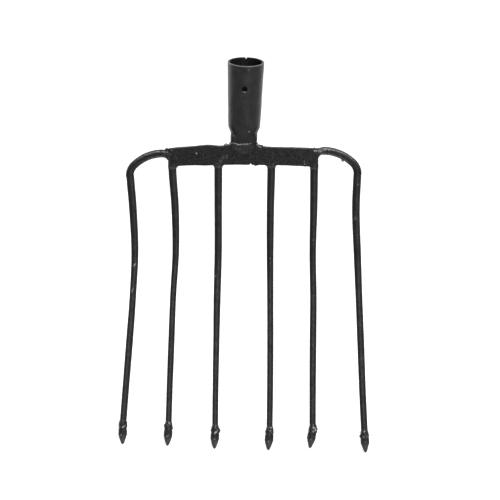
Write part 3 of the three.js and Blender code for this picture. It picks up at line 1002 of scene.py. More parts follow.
@dataclass
class Crossbar:
    """Flat bar, hammered to a slight crown, with worn corners and a notch in its foot.

    The top's and the foot's heights are shares of the bar's height at shares of half its length. Grain and
    dents grow rough between two such shares. Spots are x, y, z, reach and how bright.
    """

    length: float = 168.4
    height: float = 22.0
    thickness: float = 8.0
    top_shares: tuple[Row, ...] = (
        (-1, -0.23), (-0.9, -0.185), (-0.7, -0.125), (-0.48, -0.045), (-0.29, -0.085), (-0.19, 0), (0.19, 0),
        (0.28, -0.11), (0.6, -0.15), (1, -0.195),
    )
    foot_shares: tuple[Row, ...] = (
        (-1, -1.1), (-0.68, -1.045), (-0.5, -1.055), (-0.36, -1.025), (0, -1.005), (0.6, -1.035), (1, -1.095),
    )
    notch_place_share: float = 0.1
    notch_width: float = 2.8
    notch_depth: float = 2.0
    corner_round: float = 1.1
    stations: int = 300
    corner_steps: int = 4
    face_steps: int = 26
    edge_steps: int = 8
    dent_width: float = 7.0
    smooth_dent_depth: float = 0.12
    rough_dent_depth: float = 0.3
    dent_seed: float = 11.7
    grain_width: float = 2.2
    grain_depth: float = 0.12
    grain_seed: float = 5.3
    smooth_grain_share: float = 0.4
    rough_range: Row = (-0.45, -0.2)
    edge_share: float = 0.25
    # bright drops carry a painted highlight; those at the right end are glints on the weld's ripples
    drops: tuple[Blob, ...] = blobs(
        (13.6, -2.2, -22.6, 1.3), (15.6, -1.6, -22.7, 1.1), (69.9, -1.0, -23.6, 1.1),
        (74.7, -1.0, -23.7, 1.1), (80.0, -0.6, -4.0, 1.4, 0.1), (-77.5, -0.6, -5.7, 1.5, 0.3),
        (-80.3, -3.6, -6.6, 0.9, 0.4), (80.2, -3.9, -6.2, 1.0, 1.5), (82.2, -3.9, -6.4, 0.7, 1.3),
        (84.0, -3.8, -6.2, 0.9, 1.0), (-81.8, -3.2, -9.6, 1.1), (-82.0, -3.4, -12.4, 1.0),
        (-12.5, -3.6, -8.1, 1.0, 0.02), (-7.0, -3.5, -6.3, 1.1, 0.02), (5.0, -3.5, -6.4, 1.0, 0.02),
        (11.8, -3.6, -8.9, 1.0, 0.03),
    )
    # painted highlights and faint pale patches on the bar's front
    spots: tuple[Row, ...] = (
        (-52.5, -4.4, -9.3, 0.8, 0.8), (-22.8, -4.4, -14.2, 1.7, 0.1), (-18.5, -4.4, -12.9, 1.8, 0.1),
        (-25.3, -4.4, -17.9, 1.8, 0.1), (69.1, -4.4, -21.1, 1.0, 0.25), (68.8, -4.4, -18.3, 0.9, 0.2),
        (-76.3, -4.4, -13.2, 0.7, 0.12), (-75.1, -4.4, -15.2, 0.7, 0.12),
    )

    def edge(self, shares: Sequence[Row], x: Array) -> Array:
        """Height of one long edge at places along the bar."""
        return self.height * through(shares, np.asarray(x) / (self.length / 2.0))

    def foot(self, x: float) -> float:
        """Height of the bar's foot at a place along it, notch apart."""
        return float(self.edge(self.foot_shares, np.array([x]))[0])

    def outline(self, low: float, high: float, inset: float) -> Array:
        """Rounded section across the bar.

        Args:
            low: Height of the bar's foot.
            high: Height of its top.
            inset: How far the section is drawn in at the ends.

        Returns:
            Pairs of depth and height, right-handed about +X.
        """
        radius = self.corner_round
        half = self.thickness / 2.0 + COAT - inset
        low, high = low - COAT + inset, high + COAT - inset
        corner = np.linspace(0.0, math.pi / 2, self.corner_steps + 1)
        middles = [(half - radius, high - radius), (-half + radius, high - radius),
                   (-half + radius, low + radius), (half - radius, low + radius)]
        starts = [0.0, math.pi / 2, math.pi, 1.5 * math.pi]
        bends = [np.stack([y + radius * np.cos(start + corner), z + radius * np.sin(start + corner)], 1)
                 for (y, z), start in zip(middles, starts)]
        points: list[Array] = []
        for k, steps in enumerate((self.edge_steps, self.face_steps) * 2):
            shares = np.linspace(0.0, 1.0, steps + 1)[1:-1, None]
            points += [bends[k], lerp(bends[k][-1], bends[(k + 1) % len(bends)][0], shares)]
        return np.concatenate(points)

    def body(self, pose: HeadPose) -> Shape:
        """The bar's closed body.

        Args:
            pose: The head's pose.

        Returns:
            Its shape.
        """
        half = self.length / 2.0 + COAT
        radius = self.corner_round
        bend = radius * (1.0 - np.cos(np.linspace(0.0, math.pi / 2, self.corner_steps + 2)))
        middle = np.linspace(-half + radius, half - radius, self.stations)
        x = np.concatenate([-half + bend[:-1], middle, (half - bend[:-1])[::-1]])
        over = np.maximum(np.abs(x) - (half - radius), 0.0)
        inset = radius - np.sqrt(np.maximum(radius**2 - over**2, 0.0))
        notch_x = self.notch_place_share * half
        notch = self.notch_depth * wedge(np.abs(x - notch_x), self.notch_width)
        low = self.edge(self.foot_shares, x) + notch
        high = self.edge(self.top_shares, x)
        sections = [self.outline(a, b, c) for a, b, c in zip(low, high, inset)]
        rings = np.array([np.column_stack([np.full(len(s), place), s]) for place, s in zip(x, sections)])
        centre = np.stack([x, np.zeros_like(x), (low + high) / 2.0], 1)[:, None, :]
        out = unit((rings - centre) * np.array([0.0, 1.0, self.edge_share]))
        start, stop = self.rough_range
        rough = smoothstep(x, start * half, stop * half)[:, None]
        dents = unevenness(rings, self.dent_width, self.dent_seed)
        grain = unevenness(rings, self.grain_width, self.grain_seed)
        push = dents * lerp(self.smooth_dent_depth, self.rough_dent_depth, rough)
        push += grain * self.grain_depth * lerp(self.smooth_grain_share, 1.0, rough)
        rings = rings + out * push[..., None]
        shape = Shape()
        shape.loft(pose.place(rings))
        return shape

    def build(self, pose: HeadPose, finishes: Finishes) -> bpy.types.Object:
        """Builds and paints the bar.

        Args:
            pose: The head's pose.
            finishes: The finishes.

        Returns:
            The painted bar.
        """
        bar = self.body(pose).piece("crossbar_forged")
        stick(bar, self.drops, pose)
        marks = pose.marks(self.spots) + [drop.mark(pose) for drop in self.drops]
        return finishes.dress(bar, "bar", "crossbar", marks)


# Tines


class Seat(Enum):
    """Where a tine stands on the bar."""

    END = "on the end face"
    CORNER = "under the end's corner"
    FOOT = "under the foot"


@dataclass(frozen=True)
class Tine:
    """One tine's own shape; the sizes that all share are the rack's.

    Bows are sideways, as shares of the tines' length at equal steps down the tine. Drawn shares say at the
    same steps how far the rod has gone from its root's diameter to its end's. Flare shares are those of the
    root's bead to the left, to the right and downwards. The seat share is the height of an outer tine's root
    on the bar's end, the place share that of an inner tine's along the bar's foot. The cant turns the spike's
    point to the right. The root dip is how far an outer rod's top is sunk where it meets the bar, the root
    sag how far the whole rod hangs there, and the reach shift how far outwards its knee is moved. The bead
    shift moves the spike's bead towards the point. A lump of weld on the bead is its place along the spike,
    its angle from the front to the right, how far it stands off the axis, and its radius. A glint is a bright
    spot on the bead or the spike: its place along the spike and to the right, its reach and how bright it is.
    A speck on the rod is its length down the tine, then the same; the strong specks are painted highlights,
    the faint ones pale spots. The stripe is how bright a painted highlight runs along an outer tine's arch,
    on its upper front and, duller, under it. Caps are blobs over the root, burrs are blobs on the rod.
    """

    number: int
    seat: Seat
    bow_shares: Row
    drawn_shares: Row
    flare_shares: Row
    lumps: tuple[Row, ...]
    glints: tuple[Row, ...]
    specks: tuple[Row, ...]
    side: int = 0
    seat_share: float = 0.0
    place_share: float = 0.0
    length_share: float = 1.0
    cant: float = 0.0
    reach_shift: float = 0.0
    bead_shift: float = 0.0
    root_dip: float = 0.0
    root_sag: float = 0.0
    stripe: float = 0.0
    caps: tuple[Blob, ...] = ()
    burrs: tuple[Blob, ...] = ()


# glints, strong specks, stripes and bright caps here are painted highlights; faint specks are pale spots
TINES = (
    Tine(
        1, Seat.END, side=-1, seat_share=0.472, length_share=0.9895, cant=3.5, root_sag=0.7,
        reach_shift=-0.35, bow_shares=(0, 0.011, 0.0188, 0.0128, 0.003, -0.0067, -0.0147),
        drawn_shares=(0, 0.1, 0.45, 0.775, 0.575, 0.74, 0.775), flare_shares=(0, 0, 1.3), stripe=0.36,
        lumps=((-2.4, 70, 2.4, 2.6), (0.8, 70, 2.4, 2.8), (1.6, 15, 3.0, 1.8), (3.0, -30, 2.6, 2.0)),
        glints=(
            (1.7, 2.6, 0.5, 1.6), (2.3, 1.8, 0.45, 1.0), (3.0, 0.9, 0.7, 1.7), (3.7, 0.2, 0.55, 1.3),
            (4.1, -0.4, 0.4, 0.8), (12.7, -1.5, 0.6, 1.0),
        ),
        specks=(
            (96.0, -0.6, 1.0, 0.1), (30.0, 0.8, 0.8, 0.1), (113.9, 1.0, 0.6, 0.9), (115.4, 0.1, 0.8, 1.2),
            (116.6, -0.9, 0.5, 0.7), (142.0, 0.0, 0.5, 0.6), (143.4, -0.4, 0.6, 0.9),
            (145.0, -0.8, 0.6, 1.0), (147.0, -1.2, 0.5, 0.7),
        ),
        caps=blobs(
            (-83.6, -0.8, -6.3, 1.6, 0.1), (-86.1, -0.4, -5.2, 1.5, 0.1), (-87.3, -0.2, -5.9, 1.2, 0.1),
            (-85.7, -3.4, -8.6, 1.0, 0.35), (-83.0, -2.8, -7.8, 1.5), (-84.6, -4.0, -11.4, 1.0),
            (-83.4, -4.2, -14.6, 0.9), (-83.8, -4.0, -17.4, 1.0),
        ),
        burrs=blobs((-122.0, -0.8, -27.6, 0.9), (-123.2, -0.8, -29.0, 0.8)),
    ),
    Tine(
        2, Seat.CORNER, side=-1, length_share=0.9945, cant=-1.2,
        bow_shares=(0, 0.0103, 0.013, 0.0045, 0, -0.0035, -0.0052),
        drawn_shares=(0, 0.2, 0.675, 1, 0.95, 1.05, 1.05), flare_shares=(0, 0.75, 0),
        lumps=((-1.0, -75, 2.4, 2.7), (-2.6, 10, 3.0, 1.5), (1.4, 80, 1.6, 3.3), (0.4, -5, 3.0, 1.9)),
        glints=(
            (-3.6, 0.3, 0.6, 1.5), (-2.7, 0.8, 0.6, 1.6), (-1.8, 1.5, 0.6, 1.0), (-0.6, -1.4, 0.5, 0.4),
            (-0.2, -0.4, 0.5, 0.5), (0.2, 0.6, 0.5, 0.4), (1.4, -1.0, 0.5, 0.3), (3.0, 0.8, 0.5, 0.3),
            (11.3, 0.5, 0.5, 0.8), (12.6, -1.0, 0.6, 0.8),
        ),
        specks=((74.0, 0.4, 0.8, 0.1),),
    ),
    Tine(
        3, Seat.FOOT, place_share=-0.334, length_share=1.0055, cant=-1.4,
        bow_shares=(0, 0, 0.0005, -0.0025, -0.004, -0.005, -0.0045),
        drawn_shares=(0, 0.225, 0.275, 0.5, 0.95, 1.15, 1.175), flare_shares=(1, 0.65, 0),
        lumps=(
            (0.9, 80, 3.9, 2.1), (-1.4, 80, 2.6, 2.2), (3.0, 80, 2.9, 2.0), (2.4, 15, 3.2, 1.9),
            (0.2, 25, 2.9, 1.6),
        ),
        glints=(
            (1.6, 2.6, 0.6, 1.2), (2.8, 1.9, 0.7, 1.4), (3.9, 1.2, 0.8, 1.6), (4.6, 0.4, 0.7, 1.4),
            (5.8, -0.2, 0.6, 1.0), (3.2, 0.2, 0.5, 0.6), (-2.6, 0.6, 0.6, 0.3), (12.4, -1.6, 0.5, 0.6),
            (11.9, -0.8, 0.5, 0.7), (12.2, 0.1, 0.5, 0.6),
        ),
        specks=((127.7, -2.4, 0.6, 1.0), (112.0, 1.0, 0.6, 0.2), (119.0, 0.2, 0.7, 0.2)),
    ),
    Tine(
        4, Seat.FOOT, place_share=0.3765, length_share=1.01, cant=-3.4,
        bow_shares=(0, -0.0025, -0.003, -0.0015, -0.0005, -0.0005, -0.0015),
        drawn_shares=(0, 0.3, 0.6, 0.925, 0.95, 1.05, 1.15), flare_shares=(0.9, 0.6, 0),
        lumps=(
            (-0.8, 5, 3.0, 2.0), (1.4, 78, 1.9, 2.7), (-1.2, -75, 1.5, 2.7), (-2.8, -75, 1.2, 2.4),
            (3.0, 30, 2.8, 1.9),
        ),
        glints=(
            (-3.2, 1.1, 0.7, 1.4), (-2.4, 1.5, 0.5, 0.8), (0.8, 0.5, 0.6, 1.2), (0.4, 1.2, 0.5, 0.8),
            (0.2, -0.9, 0.5, 0.4), (-1.4, -1.6, 0.5, 0.3), (-3.0, -1.2, 0.5, 0.3), (3.0, 1.6, 0.5, 0.4),
            (13.4, -0.5, 0.6, 0.9),
        ),
        specks=((107.0, 0.3, 0.5, 0.6), (113.0, 0.2, 0.6, 0.2)),
    ),
    Tine(
        5, Seat.CORNER, side=1, length_share=1.0015, cant=-8.3,
        bow_shares=(0, -0.0005, -0.003, 0, -0.001, -0.002, -0.0025),
        drawn_shares=(0, 0.275, 0.75, 0.75, 0.675, 0.85, 0.95), flare_shares=(0.2, 0, 0),
        lumps=(
            (-0.4, 45, 3.2, 2.2), (-0.8, 78, 3.1, 2.3), (2.4, 78, 2.7, 2.4), (-0.8, -75, 2.0, 2.5),
            (2.6, 15, 2.8, 2.0),
        ),
        glints=(
            (-0.9, 0.2, 0.8, 1.6), (-0.7, 1.3, 0.7, 1.5), (-0.1, 2.3, 0.7, 2.0), (1.3, 2.8, 0.8, 2.4),
            (2.6, 2.0, 0.6, 0.8), (3.8, 0.8, 0.7, 1.1), (1.2, 0.2, 0.5, 0.5), (-4.6, -0.6, 0.5, 0.5),
            (13.4, -0.6, 0.6, 0.5),
        ),
        specks=((86.0, 0.6, 1.0, 0.2), (68.0, 0.4, 0.6, 0.15)),
    ),
    Tine(
        6, Seat.END, side=1, seat_share=0.3, length_share=1.0165,
        bow_shares=(0, -0.0046, 0.0021, 0.009, 0.0153, 0.0205, 0.0266),
        drawn_shares=(0, 0.075, 0.3, 0.625, 0.55, 0.7, 0.75), flare_shares=(0, 0, 1.4), root_dip=2.2,
        reach_shift=0.55, bead_shift=2.0, stripe=0.45,
        lumps=(
            (3.2, -78, 3.5, 2.3), (2.2, 76, 2.2, 2.6), (1.6, 0, 3.2, 2.0), (-1.0, 5, 2.8, 1.5),
            (4.8, 20, 3.0, 1.9),
        ),
        glints=(
            (-0.7, -0.3, 0.7, 1.3), (-1.5, 0.1, 0.5, 0.7), (5.6, -1.0, 0.6, 0.8), (2.0, -0.6, 0.5, 0.5),
            (2.4, 0.9, 0.5, 0.4), (3.6, 2.4, 0.5, 0.3), (5.4, 2.6, 0.5, 0.4), (6.6, 1.6, 0.5, 0.4),
            (4.0, -2.4, 0.5, 0.3), (11.6, 0.0, 0.5, 0.4),
        ),
        specks=((22.0, 1.2, 0.6, 0.6), (61.0, -1.0, 1.8, 0.14), (80.0, 0.6, 1.0, 0.1)),
        caps=blobs(
            (86.4, -3.4, -6.6, 1.1, 1.4), (88.8, -3.4, -6.2, 1.1, 1.5), (91.2, -3.2, -5.4, 0.9, 1.5),
            (93.6, -2.8, -4.7, 0.8, 1.4), (96.2, -3.2, -5.4, 0.7, 1.0), (84.6, -1.0, -10.8, 1.3),
        ),
        burrs=blobs((112.3, -1.4, -17.9, 1.0), (110.8, -1.4, -16.9, 0.8)),
    ),
)


@dataclass
class Rack:
    """The tines with their spikes.

    An outer tine runs level for the arch's run, rounds the shoulder by the arch's turn, goes straight for the
    ramp and bends down over the knee. Reaches are where a change starts and stops. The streak is a painted
    highlight down a rod's front. Its side and strength are for the upper and the lower rod: how far the
    surface faces sideways on the streak's middle, and how bright it is. The stripe is a painted highlight as
    many degrees above the front as its rise, a duller one under the arch as many below it as its fall. The
    scribed line's steps, and those of the burr after it, are a place past the end of the spike's body and how
    far its side stands out there.
    """

    bar: Crossbar
    pose: HeadPose
    finishes: Finishes
    recipe: Recipe
    root_diameter: float = 8.42
    end_diameter: float = 6.34
    length: float = 302.0
    bend_radius: float = 500.0
    arch_reach: float = 44.2
    arch_run: float = 6.0
    arch_ramp: float = 2.5
    knee_radius: float = 17.0
    arch_turn: float = 40.0
    arch_steps: int = 24
    dip_reach: Row = (1.5, 6.5)
    sag_reach: Row = (0.0, 10.0)
    sunk: float = 1.5
    step: float = 1.0
    slope_share: float = 0.001
    rod_sides: int = 36
    dent_width: float = 11.0
    dent_depth: float = 0.12
    grain_width: float = 1.8
    grain_depth: float = 0.035
    # painted highlights: the streak down a rod's front and the stripes on an arch
    streak_change: Row = (80.0, 150.0)
    streak_side: Row = (0.28, -0.05)
    streak_strength: Row = (0.02, 0.07)
    streak_width: float = 0.34
    streak_start: float = 12.0
    streak_unevenness: float = 0.9
    streak_patch: float = 2.5
    streak_stretch: Row = (1.0, 1.0, 0.35)
    streak_seed: float = 3.0
    stripe_rise: float = 50.0
    stripe_width: float = 12.0
    stripe_fade: float = 24.0
    under_fall: float = 42.0
    under_width: float = 24.0
    under_share: float = 0.9
    spike_diameter: float = 9.0
    spike_back_diameter: float = 6.8
    spike_back_length: float = 2.0
    spike_back_bevel: float = 1.0
    spike_waist: float = 0.45
    spike_waist_end: float = 7.0
    spike_body_length: float = 10.6
    spike_cone_length: float = 11.4
    line_steps: tuple[Row, ...] = (
        (-0.7, 0.0), (-0.5, -0.16), (-0.3, -0.16), (-0.1, 0.06), (0.0, 0.06), (0.2, 0.0),
    )
    line_room: float = 0.9
    cone_bulge: float = 0.2
    point_radius: float = 1.1
    point_length: float = 1.6
    spike_sides: int = 72
    spike_step: float = 0.3
    spike_dent_width: float = 3.0
    spike_dent_depth: float = 0.2
    spike_dent_seed: float = 7.7
    cone_rings: int = 40
    # the cone is painted paler than the spike's body
    cone_pale: float = 0.13
    cone_pale_reach: float = 5.5

    def root_place(self, tine: Tine) -> float:
        """Middle of a tine's root.

        Args:
            tine: The tine.

        Returns:
            Its sideways place.
        """
        half = self.bar.length / 2.0
        if tine.seat is Seat.END:
            return tine.side * (half + self.arch_reach + tine.reach_shift)
        if tine.seat is Seat.CORNER:
            return tine.side * (half - self.root_diameter / 2.0)
        return tine.place_share * half

    def bent(self, flat: Array) -> Array:
        """Bends points that are drawn in the flat forward with the tines.

        Args:
            flat: Pairs of x and z.

        Returns:
            The places in the head's frame.
        """
        x, z = flat[..., 0], flat[..., 1]
        below = np.maximum(-self.bar.height - z, 0.0)
        angle = below / self.bend_radius
        forward = self.bend_radius * (1.0 - np.cos(angle))
        return np.stack([x, -forward, z + below - self.bend_radius * np.sin(angle)], -1)

    def arch(self, tine: Tine) -> Array:
        """Flat outline of an outer tine's arch.

        Args:
            tine: The tine.

        Returns:
            Pairs of x and z, from inside the bar's end to the foot of the knee.
        """
        turn = math.radians(self.arch_turn)
        knee = self.knee_radius
        reach = self.arch_reach + tine.reach_shift
        shoulder_reach = reach - self.arch_run - self.arch_ramp * math.cos(turn) - knee * (1 - math.sin(turn))
        radius = shoulder_reach / math.sin(turn)
        drop = radius * (1.0 - math.cos(turn))
        first = math.pi / 2 - np.linspace(0.0, turn, self.arch_steps)
        second = np.linspace(math.pi / 2 - turn, 0.0, self.arch_steps)
        shoulder = np.stack([self.arch_run + radius * np.cos(first), -radius + radius * np.sin(first)], 1)
        middle = -drop - self.arch_ramp * math.sin(turn) - knee * math.cos(turn)
        bend = np.stack([reach - knee + knee * np.cos(second), middle + knee * np.sin(second)], 1)
        x, z = np.concatenate([[[-2.0 * self.sunk, 0.0]], shoulder, bend]).T
        return np.stack([tine.side * (self.bar.length / 2.0 + x), z - tine.seat_share * self.bar.height], 1)

    def shank_length(self, tine: Tine) -> float:
        """Length of a tine from the level of the bar's foot to its spike."""
        return self.length * tine.length_share

    def along_shank(self, tine: Tine, shares: Sequence[float], drop: Array) -> Array:
        """Value at a length down a tine of shares that are given at equal steps."""
        stations = [(i / (len(shares) - 1), share) for i, share in enumerate(shares)]
        return through(stations, np.asarray(drop) / self.shank_length(tine))

    def shank_flat(self, tine: Tine, drops: Array) -> Array:
        """Flat places of a tine's middle at lengths down it."""
        return np.stack([self.shank_place(tine, drops), -self.bar.height - drops], 1)

    def shank_place(self, tine: Tine, drop: Array) -> Array:
        """Sideways place of a tine at a length down it."""
        return self.root_place(tine) + self.length * self.along_shank(tine, tine.bow_shares, drop)

    def radius(self, tine: Tine, drop: Array) -> Array:
        """Radius of a rod at a length down it."""
        drawn = self.along_shank(tine, tine.drawn_shares, drop)
        return lerp(self.root_diameter, self.end_diameter, drawn) / 2.0

    def rod_path(self, tine: Tine) -> tuple[Array, Array]:
        """Centres and radii along a rod.

        Args:
            tine: The tine.

        Returns:
            Both, the centres in the head's frame.
        """
        arch = self.arch(tine) if tine.seat is Seat.END else np.empty((0, 2))
        start = arch[-1, 1] if len(arch) else self.bar.foot(self.root_place(tine)) + self.sunk
        first = -self.bar.height - start
        last = self.shank_length(tine) + self.spike_back_length
        drops = np.arange(first, last, self.step)[1 if len(arch) else 0:]
        flat = np.concatenate([arch, self.shank_flat(tine, drops)])
        radii = self.radius(tine, np.maximum(-self.bar.height - flat[:, 1], 0.0)) + COAT
        from_bar = np.abs(flat[:, 0]) - self.bar.length / 2.0
        dip = tine.root_dip / 2.0 * (1.0 - smoothstep(from_bar, *self.dip_reach))
        centres = self.bent(flat)
        centres[:, 2] -= dip + tine.root_sag * (1.0 - smoothstep(from_bar, *self.sag_reach))
        return centres, radii - dip

    def spike_set(self, tine: Tine) -> tuple[Array, Array]:
        """Middle of a spike's back and the way its point faces.

        Args:
            tine: The tine.

        Returns:
            Both in the head's frame.
        """
        length = self.shank_length(tine)
        drops = np.array([length, length * (1.0 - self.slope_share)])
        back, before = self.bent(self.shank_flat(tine, drops))
        run = unit(back - before)
        hinge, _ = ring_frame(run)
        canted = Matrix.Rotation(math.radians(tine.cant), 3, Vector(hinge)) @ Vector(run)
        return back, np.array(canted)

    def build_rod(self, tine: Tine) -> bpy.types.Object:
        """Sweeps a rod along its path and paints it.

        Args:
            tine: The tine.

        Returns:
            The painted rod.
        """
        centres, radii = self.rod_path(tine)
        shape = Shape()
        shape.path(self.pose.place(centres))
        rod = shape.piece(f"tine_rod_{tine.number}")
        held = rod.data.attributes.new("rod_radius", "FLOAT", "POINT")
        held.data.foreach_set("value", (radii * MM).astype(np.float32))
        self.recipe.run(rod, {
            "Sides": self.rod_sides, "Dent Width": self.dent_width * MM, "Dent Depth": self.dent_depth * MM,
            "Grain Width": self.grain_width * MM, "Grain Depth": self.grain_depth * MM,
            "Seed": float(tine.number), "Finish": self.finishes.materials["rod"],
        })
        settle(rod)
        stick(rod, tine.burrs, self.pose)
        marks = self.speck_marks(tine) + [cap.mark(self.pose) for cap in tine.caps]
        # the streak is the rod's painted highlight
        return self.finishes.dress(rod, "rod", f"tine_{tine.number}", marks, self.streak(rod, tine))

    def streak(self, rod: bpy.types.Object, tine: Tine) -> Array:
        """Paints highlights: a line down a rod's front, and stripes along an arch's upper front and under it.

        Args:
            rod: The finished rod.
            tine: The tine.

        Returns:
            How bright a painted highlight each vertex takes.
        """
        places, normals = vertex_places(rod), vertex_rows(rod, "normal")
        # painted highlight in a line down the front
        down = -self.pose.drop - self.bar.height - places[:, 2]
        low = smoothstep(down, *self.streak_change)
        off_line = (normals[:, 0] - lerp(*self.streak_side, low)) / self.streak_width
        strength = lerp(*self.streak_strength, low) * smoothstep(down, 0.0, self.streak_start)
        line = np.where(normals[:, 1] < 0.0, strength * np.exp(-(off_line**2)), 0.0)
        # painted highlights along an outer arch: a stripe on its upper front, a duller one under it
        outward = np.hypot(normals[:, 0], normals[:, 2]) * np.sign(normals[:, 2] + tine.side * normals[:, 0])
        rise = np.degrees(np.arctan2(outward, -normals[:, 1]))
        above = 1.0 - smoothstep(places[:, 2].max() - places[:, 2], 0.0, self.stripe_fade)
        upper = np.exp(-(((rise - self.stripe_rise) / self.stripe_width) ** 2))
        lower = np.exp(-(((rise + self.under_fall) / self.under_width) ** 2)) * self.under_share
        stripe = tine.stripe * above * (upper + lower)
        stretched = places * np.array(self.streak_stretch)
        uneven = unevenness(stretched, self.streak_patch, self.streak_seed * tine.number)
        return (line + stripe) * np.clip(1.0 + self.streak_unevenness * uneven, 0.0, 2.0)

    def speck_marks(self, tine: Tine) -> list[Mark]:
        """The bright specks on a rod's front: painted highlights, the faint ones pale spots.

        Args:
            tine: The tine.

        Returns:
            The marks.
        """
        marks = []
        for drop, across, reach, strength in tine.specks:
            drops = np.array([drop, drop + self.step])
            here, after = self.bent(self.shank_flat(tine, drops))
            front, side = ring_frame(unit(after - here))
            radius = float(self.radius(tine, drop)) + COAT
            place = here + front * math.sqrt(radius**2 - across**2) - side * across
            marks.append(self.pose.mark(place, reach, strength))
        return marks

    def spike_profile(self) -> Array:
        """Outline of a spike, whose sides are full and whose point is blunt.

        Returns:
            Pairs of radius and length, from its back to its point.
        """
        radius, back = self.spike_diameter / 2.0 + COAT, self.spike_back_diameter / 2.0
        body = np.arange(self.spike_back_length, self.spike_body_length - self.line_room, self.spike_step)
        waist = self.spike_waist * (1.0 - smoothstep(body, self.spike_back_length, self.spike_waist_end))
        length = self.spike_cone_length
        left = length * np.linspace(1.0, 0.0, self.cone_rings + 1)[1:-1] ** 2
        share = left / length
        full = lerp(self.point_radius, radius, share) + self.cone_bulge * np.sin(math.pi * share)
        blunt = np.sqrt(1.0 - (1.0 - np.minimum(left / self.point_length, 1.0)) ** 2)
        cone = np.column_stack([full * blunt, self.spike_body_length + length - left])
        return np.concatenate([
            [[back - self.spike_back_bevel, 0.0], [back, 0.0]],
            np.column_stack([radius - waist, body]),
            [[radius + out, self.spike_body_length + place] for place, out in self.line_steps],
            cone[1:]])

    def build_spike(self, tine: Tine) -> bpy.types.Object:
        """Turns a spike: body, cone and rounded point.

        Args:
            tine: The tine.

        Returns:
            The painted spike.
        """
        back, run = self.spike_set(tine)
        rings = turned(back, run, self.spike_sides, self.spike_profile())
        axis_points = back + np.outer((rings.mean(1) - back) @ run, run)
        out = (rings - axis_points[:, None, :]) / (self.spike_diameter / 2.0)
        dents = self.spike_dent_depth * unevenness(rings, self.spike_dent_width, self.spike_dent_seed)
        shape = Shape()
        shape.loft(self.pose.place(rings + out * dents[..., None]))
        spike = shape.piece(f"spike_point_{tine.number}")
        cone = back + run * (self.spike_body_length + self.spike_cone_length / 2.0)
        # the cone is painted paler than the body; the glints are painted highlights
        marks = [self.pose.mark(cone, self.cone_pale_reach, self.cone_pale)] + self.glint_marks(tine)
        return self.finishes.dress(spike, "spike", f"spike_{tine.number}", marks)

    def glint_marks(self, tine: Tine) -> list[Mark]:
        """The painted highlights on the front of a spike and its bead.

        Args:
            tine: The tine.

        Returns:
            The marks.
        """
        back, run = self.spike_set(tine)
        front, side = ring_frame(run)
        marks = []
        radii, lengths = self.spike_profile()[2:].T
        for along, across, reach, strength in tine.glints:
            ahead = math.sqrt(np.interp(along, lengths, radii) ** 2 - across**2)
            place = back + run * along + front * ahead - side * across
            marks.append(self.pose.mark(place, reach, strength))
        return marks


# Welds


@dataclass
class Welder:
    """Lays beads: a plain body, droplets along its runs, all melted into one skin."""

    recipe: Recipe
    pose: HeadPose
    finishes: Finishes
    step: float = 1.5
    flatness: float = 0.55
    wander: float = 0.4
    spread: float = 0.3
    skin: float = 0.3
    melts: int = 2
    melt_share: float = 0.5

    def lay(self, name: str, node: str, shape: Shape, droplet: float, seed: int,
            marks: Sequence[Mark] = ()) -> bpy.types.Object:
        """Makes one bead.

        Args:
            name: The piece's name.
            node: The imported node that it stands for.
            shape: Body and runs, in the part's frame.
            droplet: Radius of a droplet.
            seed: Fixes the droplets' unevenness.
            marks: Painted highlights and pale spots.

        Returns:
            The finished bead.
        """
        bead = shape.piece(name)
        self.recipe.run(bead, {
            "Step": self.step * MM, "Droplet": droplet * MM, "Flatness": self.flatness,
            "Wander": self.wander * MM, "Spread": self.spread, "Seed": seed,
            "Finish": self.finishes.materials["weld"],
        })
        melt = bead.modifiers.new("melt", "REMESH")
        melt.mode, melt.voxel_size = "VOXEL", self.skin * MM
        soften = bead.modifiers.new("soften", "SMOOTH")
        soften.factor, soften.iterations = self.melt_share, self.melts
        return self.finishes.dress(settle(bead), "weld", node, marks)


@dataclass
class TipWeld:
    """Lumpy bead that joins a spike to its rod and hides the spike's back."""

    rise: float = 6.0
    cover: float = 3.4
    edge: float = 0.15
    swell: float = 0.65
    sides: int = 28
    steps: int = 12
    droplet: float = 1.3
    inset: float = 0.45
    ring_level: float = 0.8
    ring_inset: float = 1.5
    first_seed: int = 10

    def build(self, rack: Rack, tine: Tine, welder: Welder) -> bpy.types.Object:
        """Lays the bead round the spike's back.

        Args:
            rack: The tines.
            tine: The tine.
            welder: What lays the bead.

        Returns:
            The bead.
        """
        back, run = rack.spike_set(tine)
        rod = float(rack.radius(tine, rack.shank_length(tine))) + COAT
        spike = rack.spike_diameter / 2.0 + COAT
        shares = np.linspace(0.0, 1.0, self.steps)
        along = lerp(-self.rise, self.cover, shares) + tine.bead_shift
        wide = lerp(rod + self.edge, spike - self.inset, shares) + self.swell * np.sin(math.pi * shares)
        shape = Shape()
        shape.loft(welder.pose.place(turned(back, run, self.sides, np.column_stack([wide, along]))))
        front, side = ring_frame(run)
        level = self.ring_level + tine.bead_shift
        ring = turned(back, run, self.sides, np.array([[spike - self.ring_inset, level]]))
        shape.path(welder.pose.place(ring[0]), closed=True)
        for place, degrees, stand, radius in tine.lumps:
            angle = math.radians(degrees)
            off = front * math.cos(angle) - side * math.sin(angle)
            shape.ball(welder.pose.place(back + run * place + off * (stand + COAT)), radius)
        return welder.lay(f"spike_bead_{tine.number}", f"spike_weld_{tine.number}", shape, self.droplet,
                          self.first_seed + tine.number, rack.glint_marks(tine))


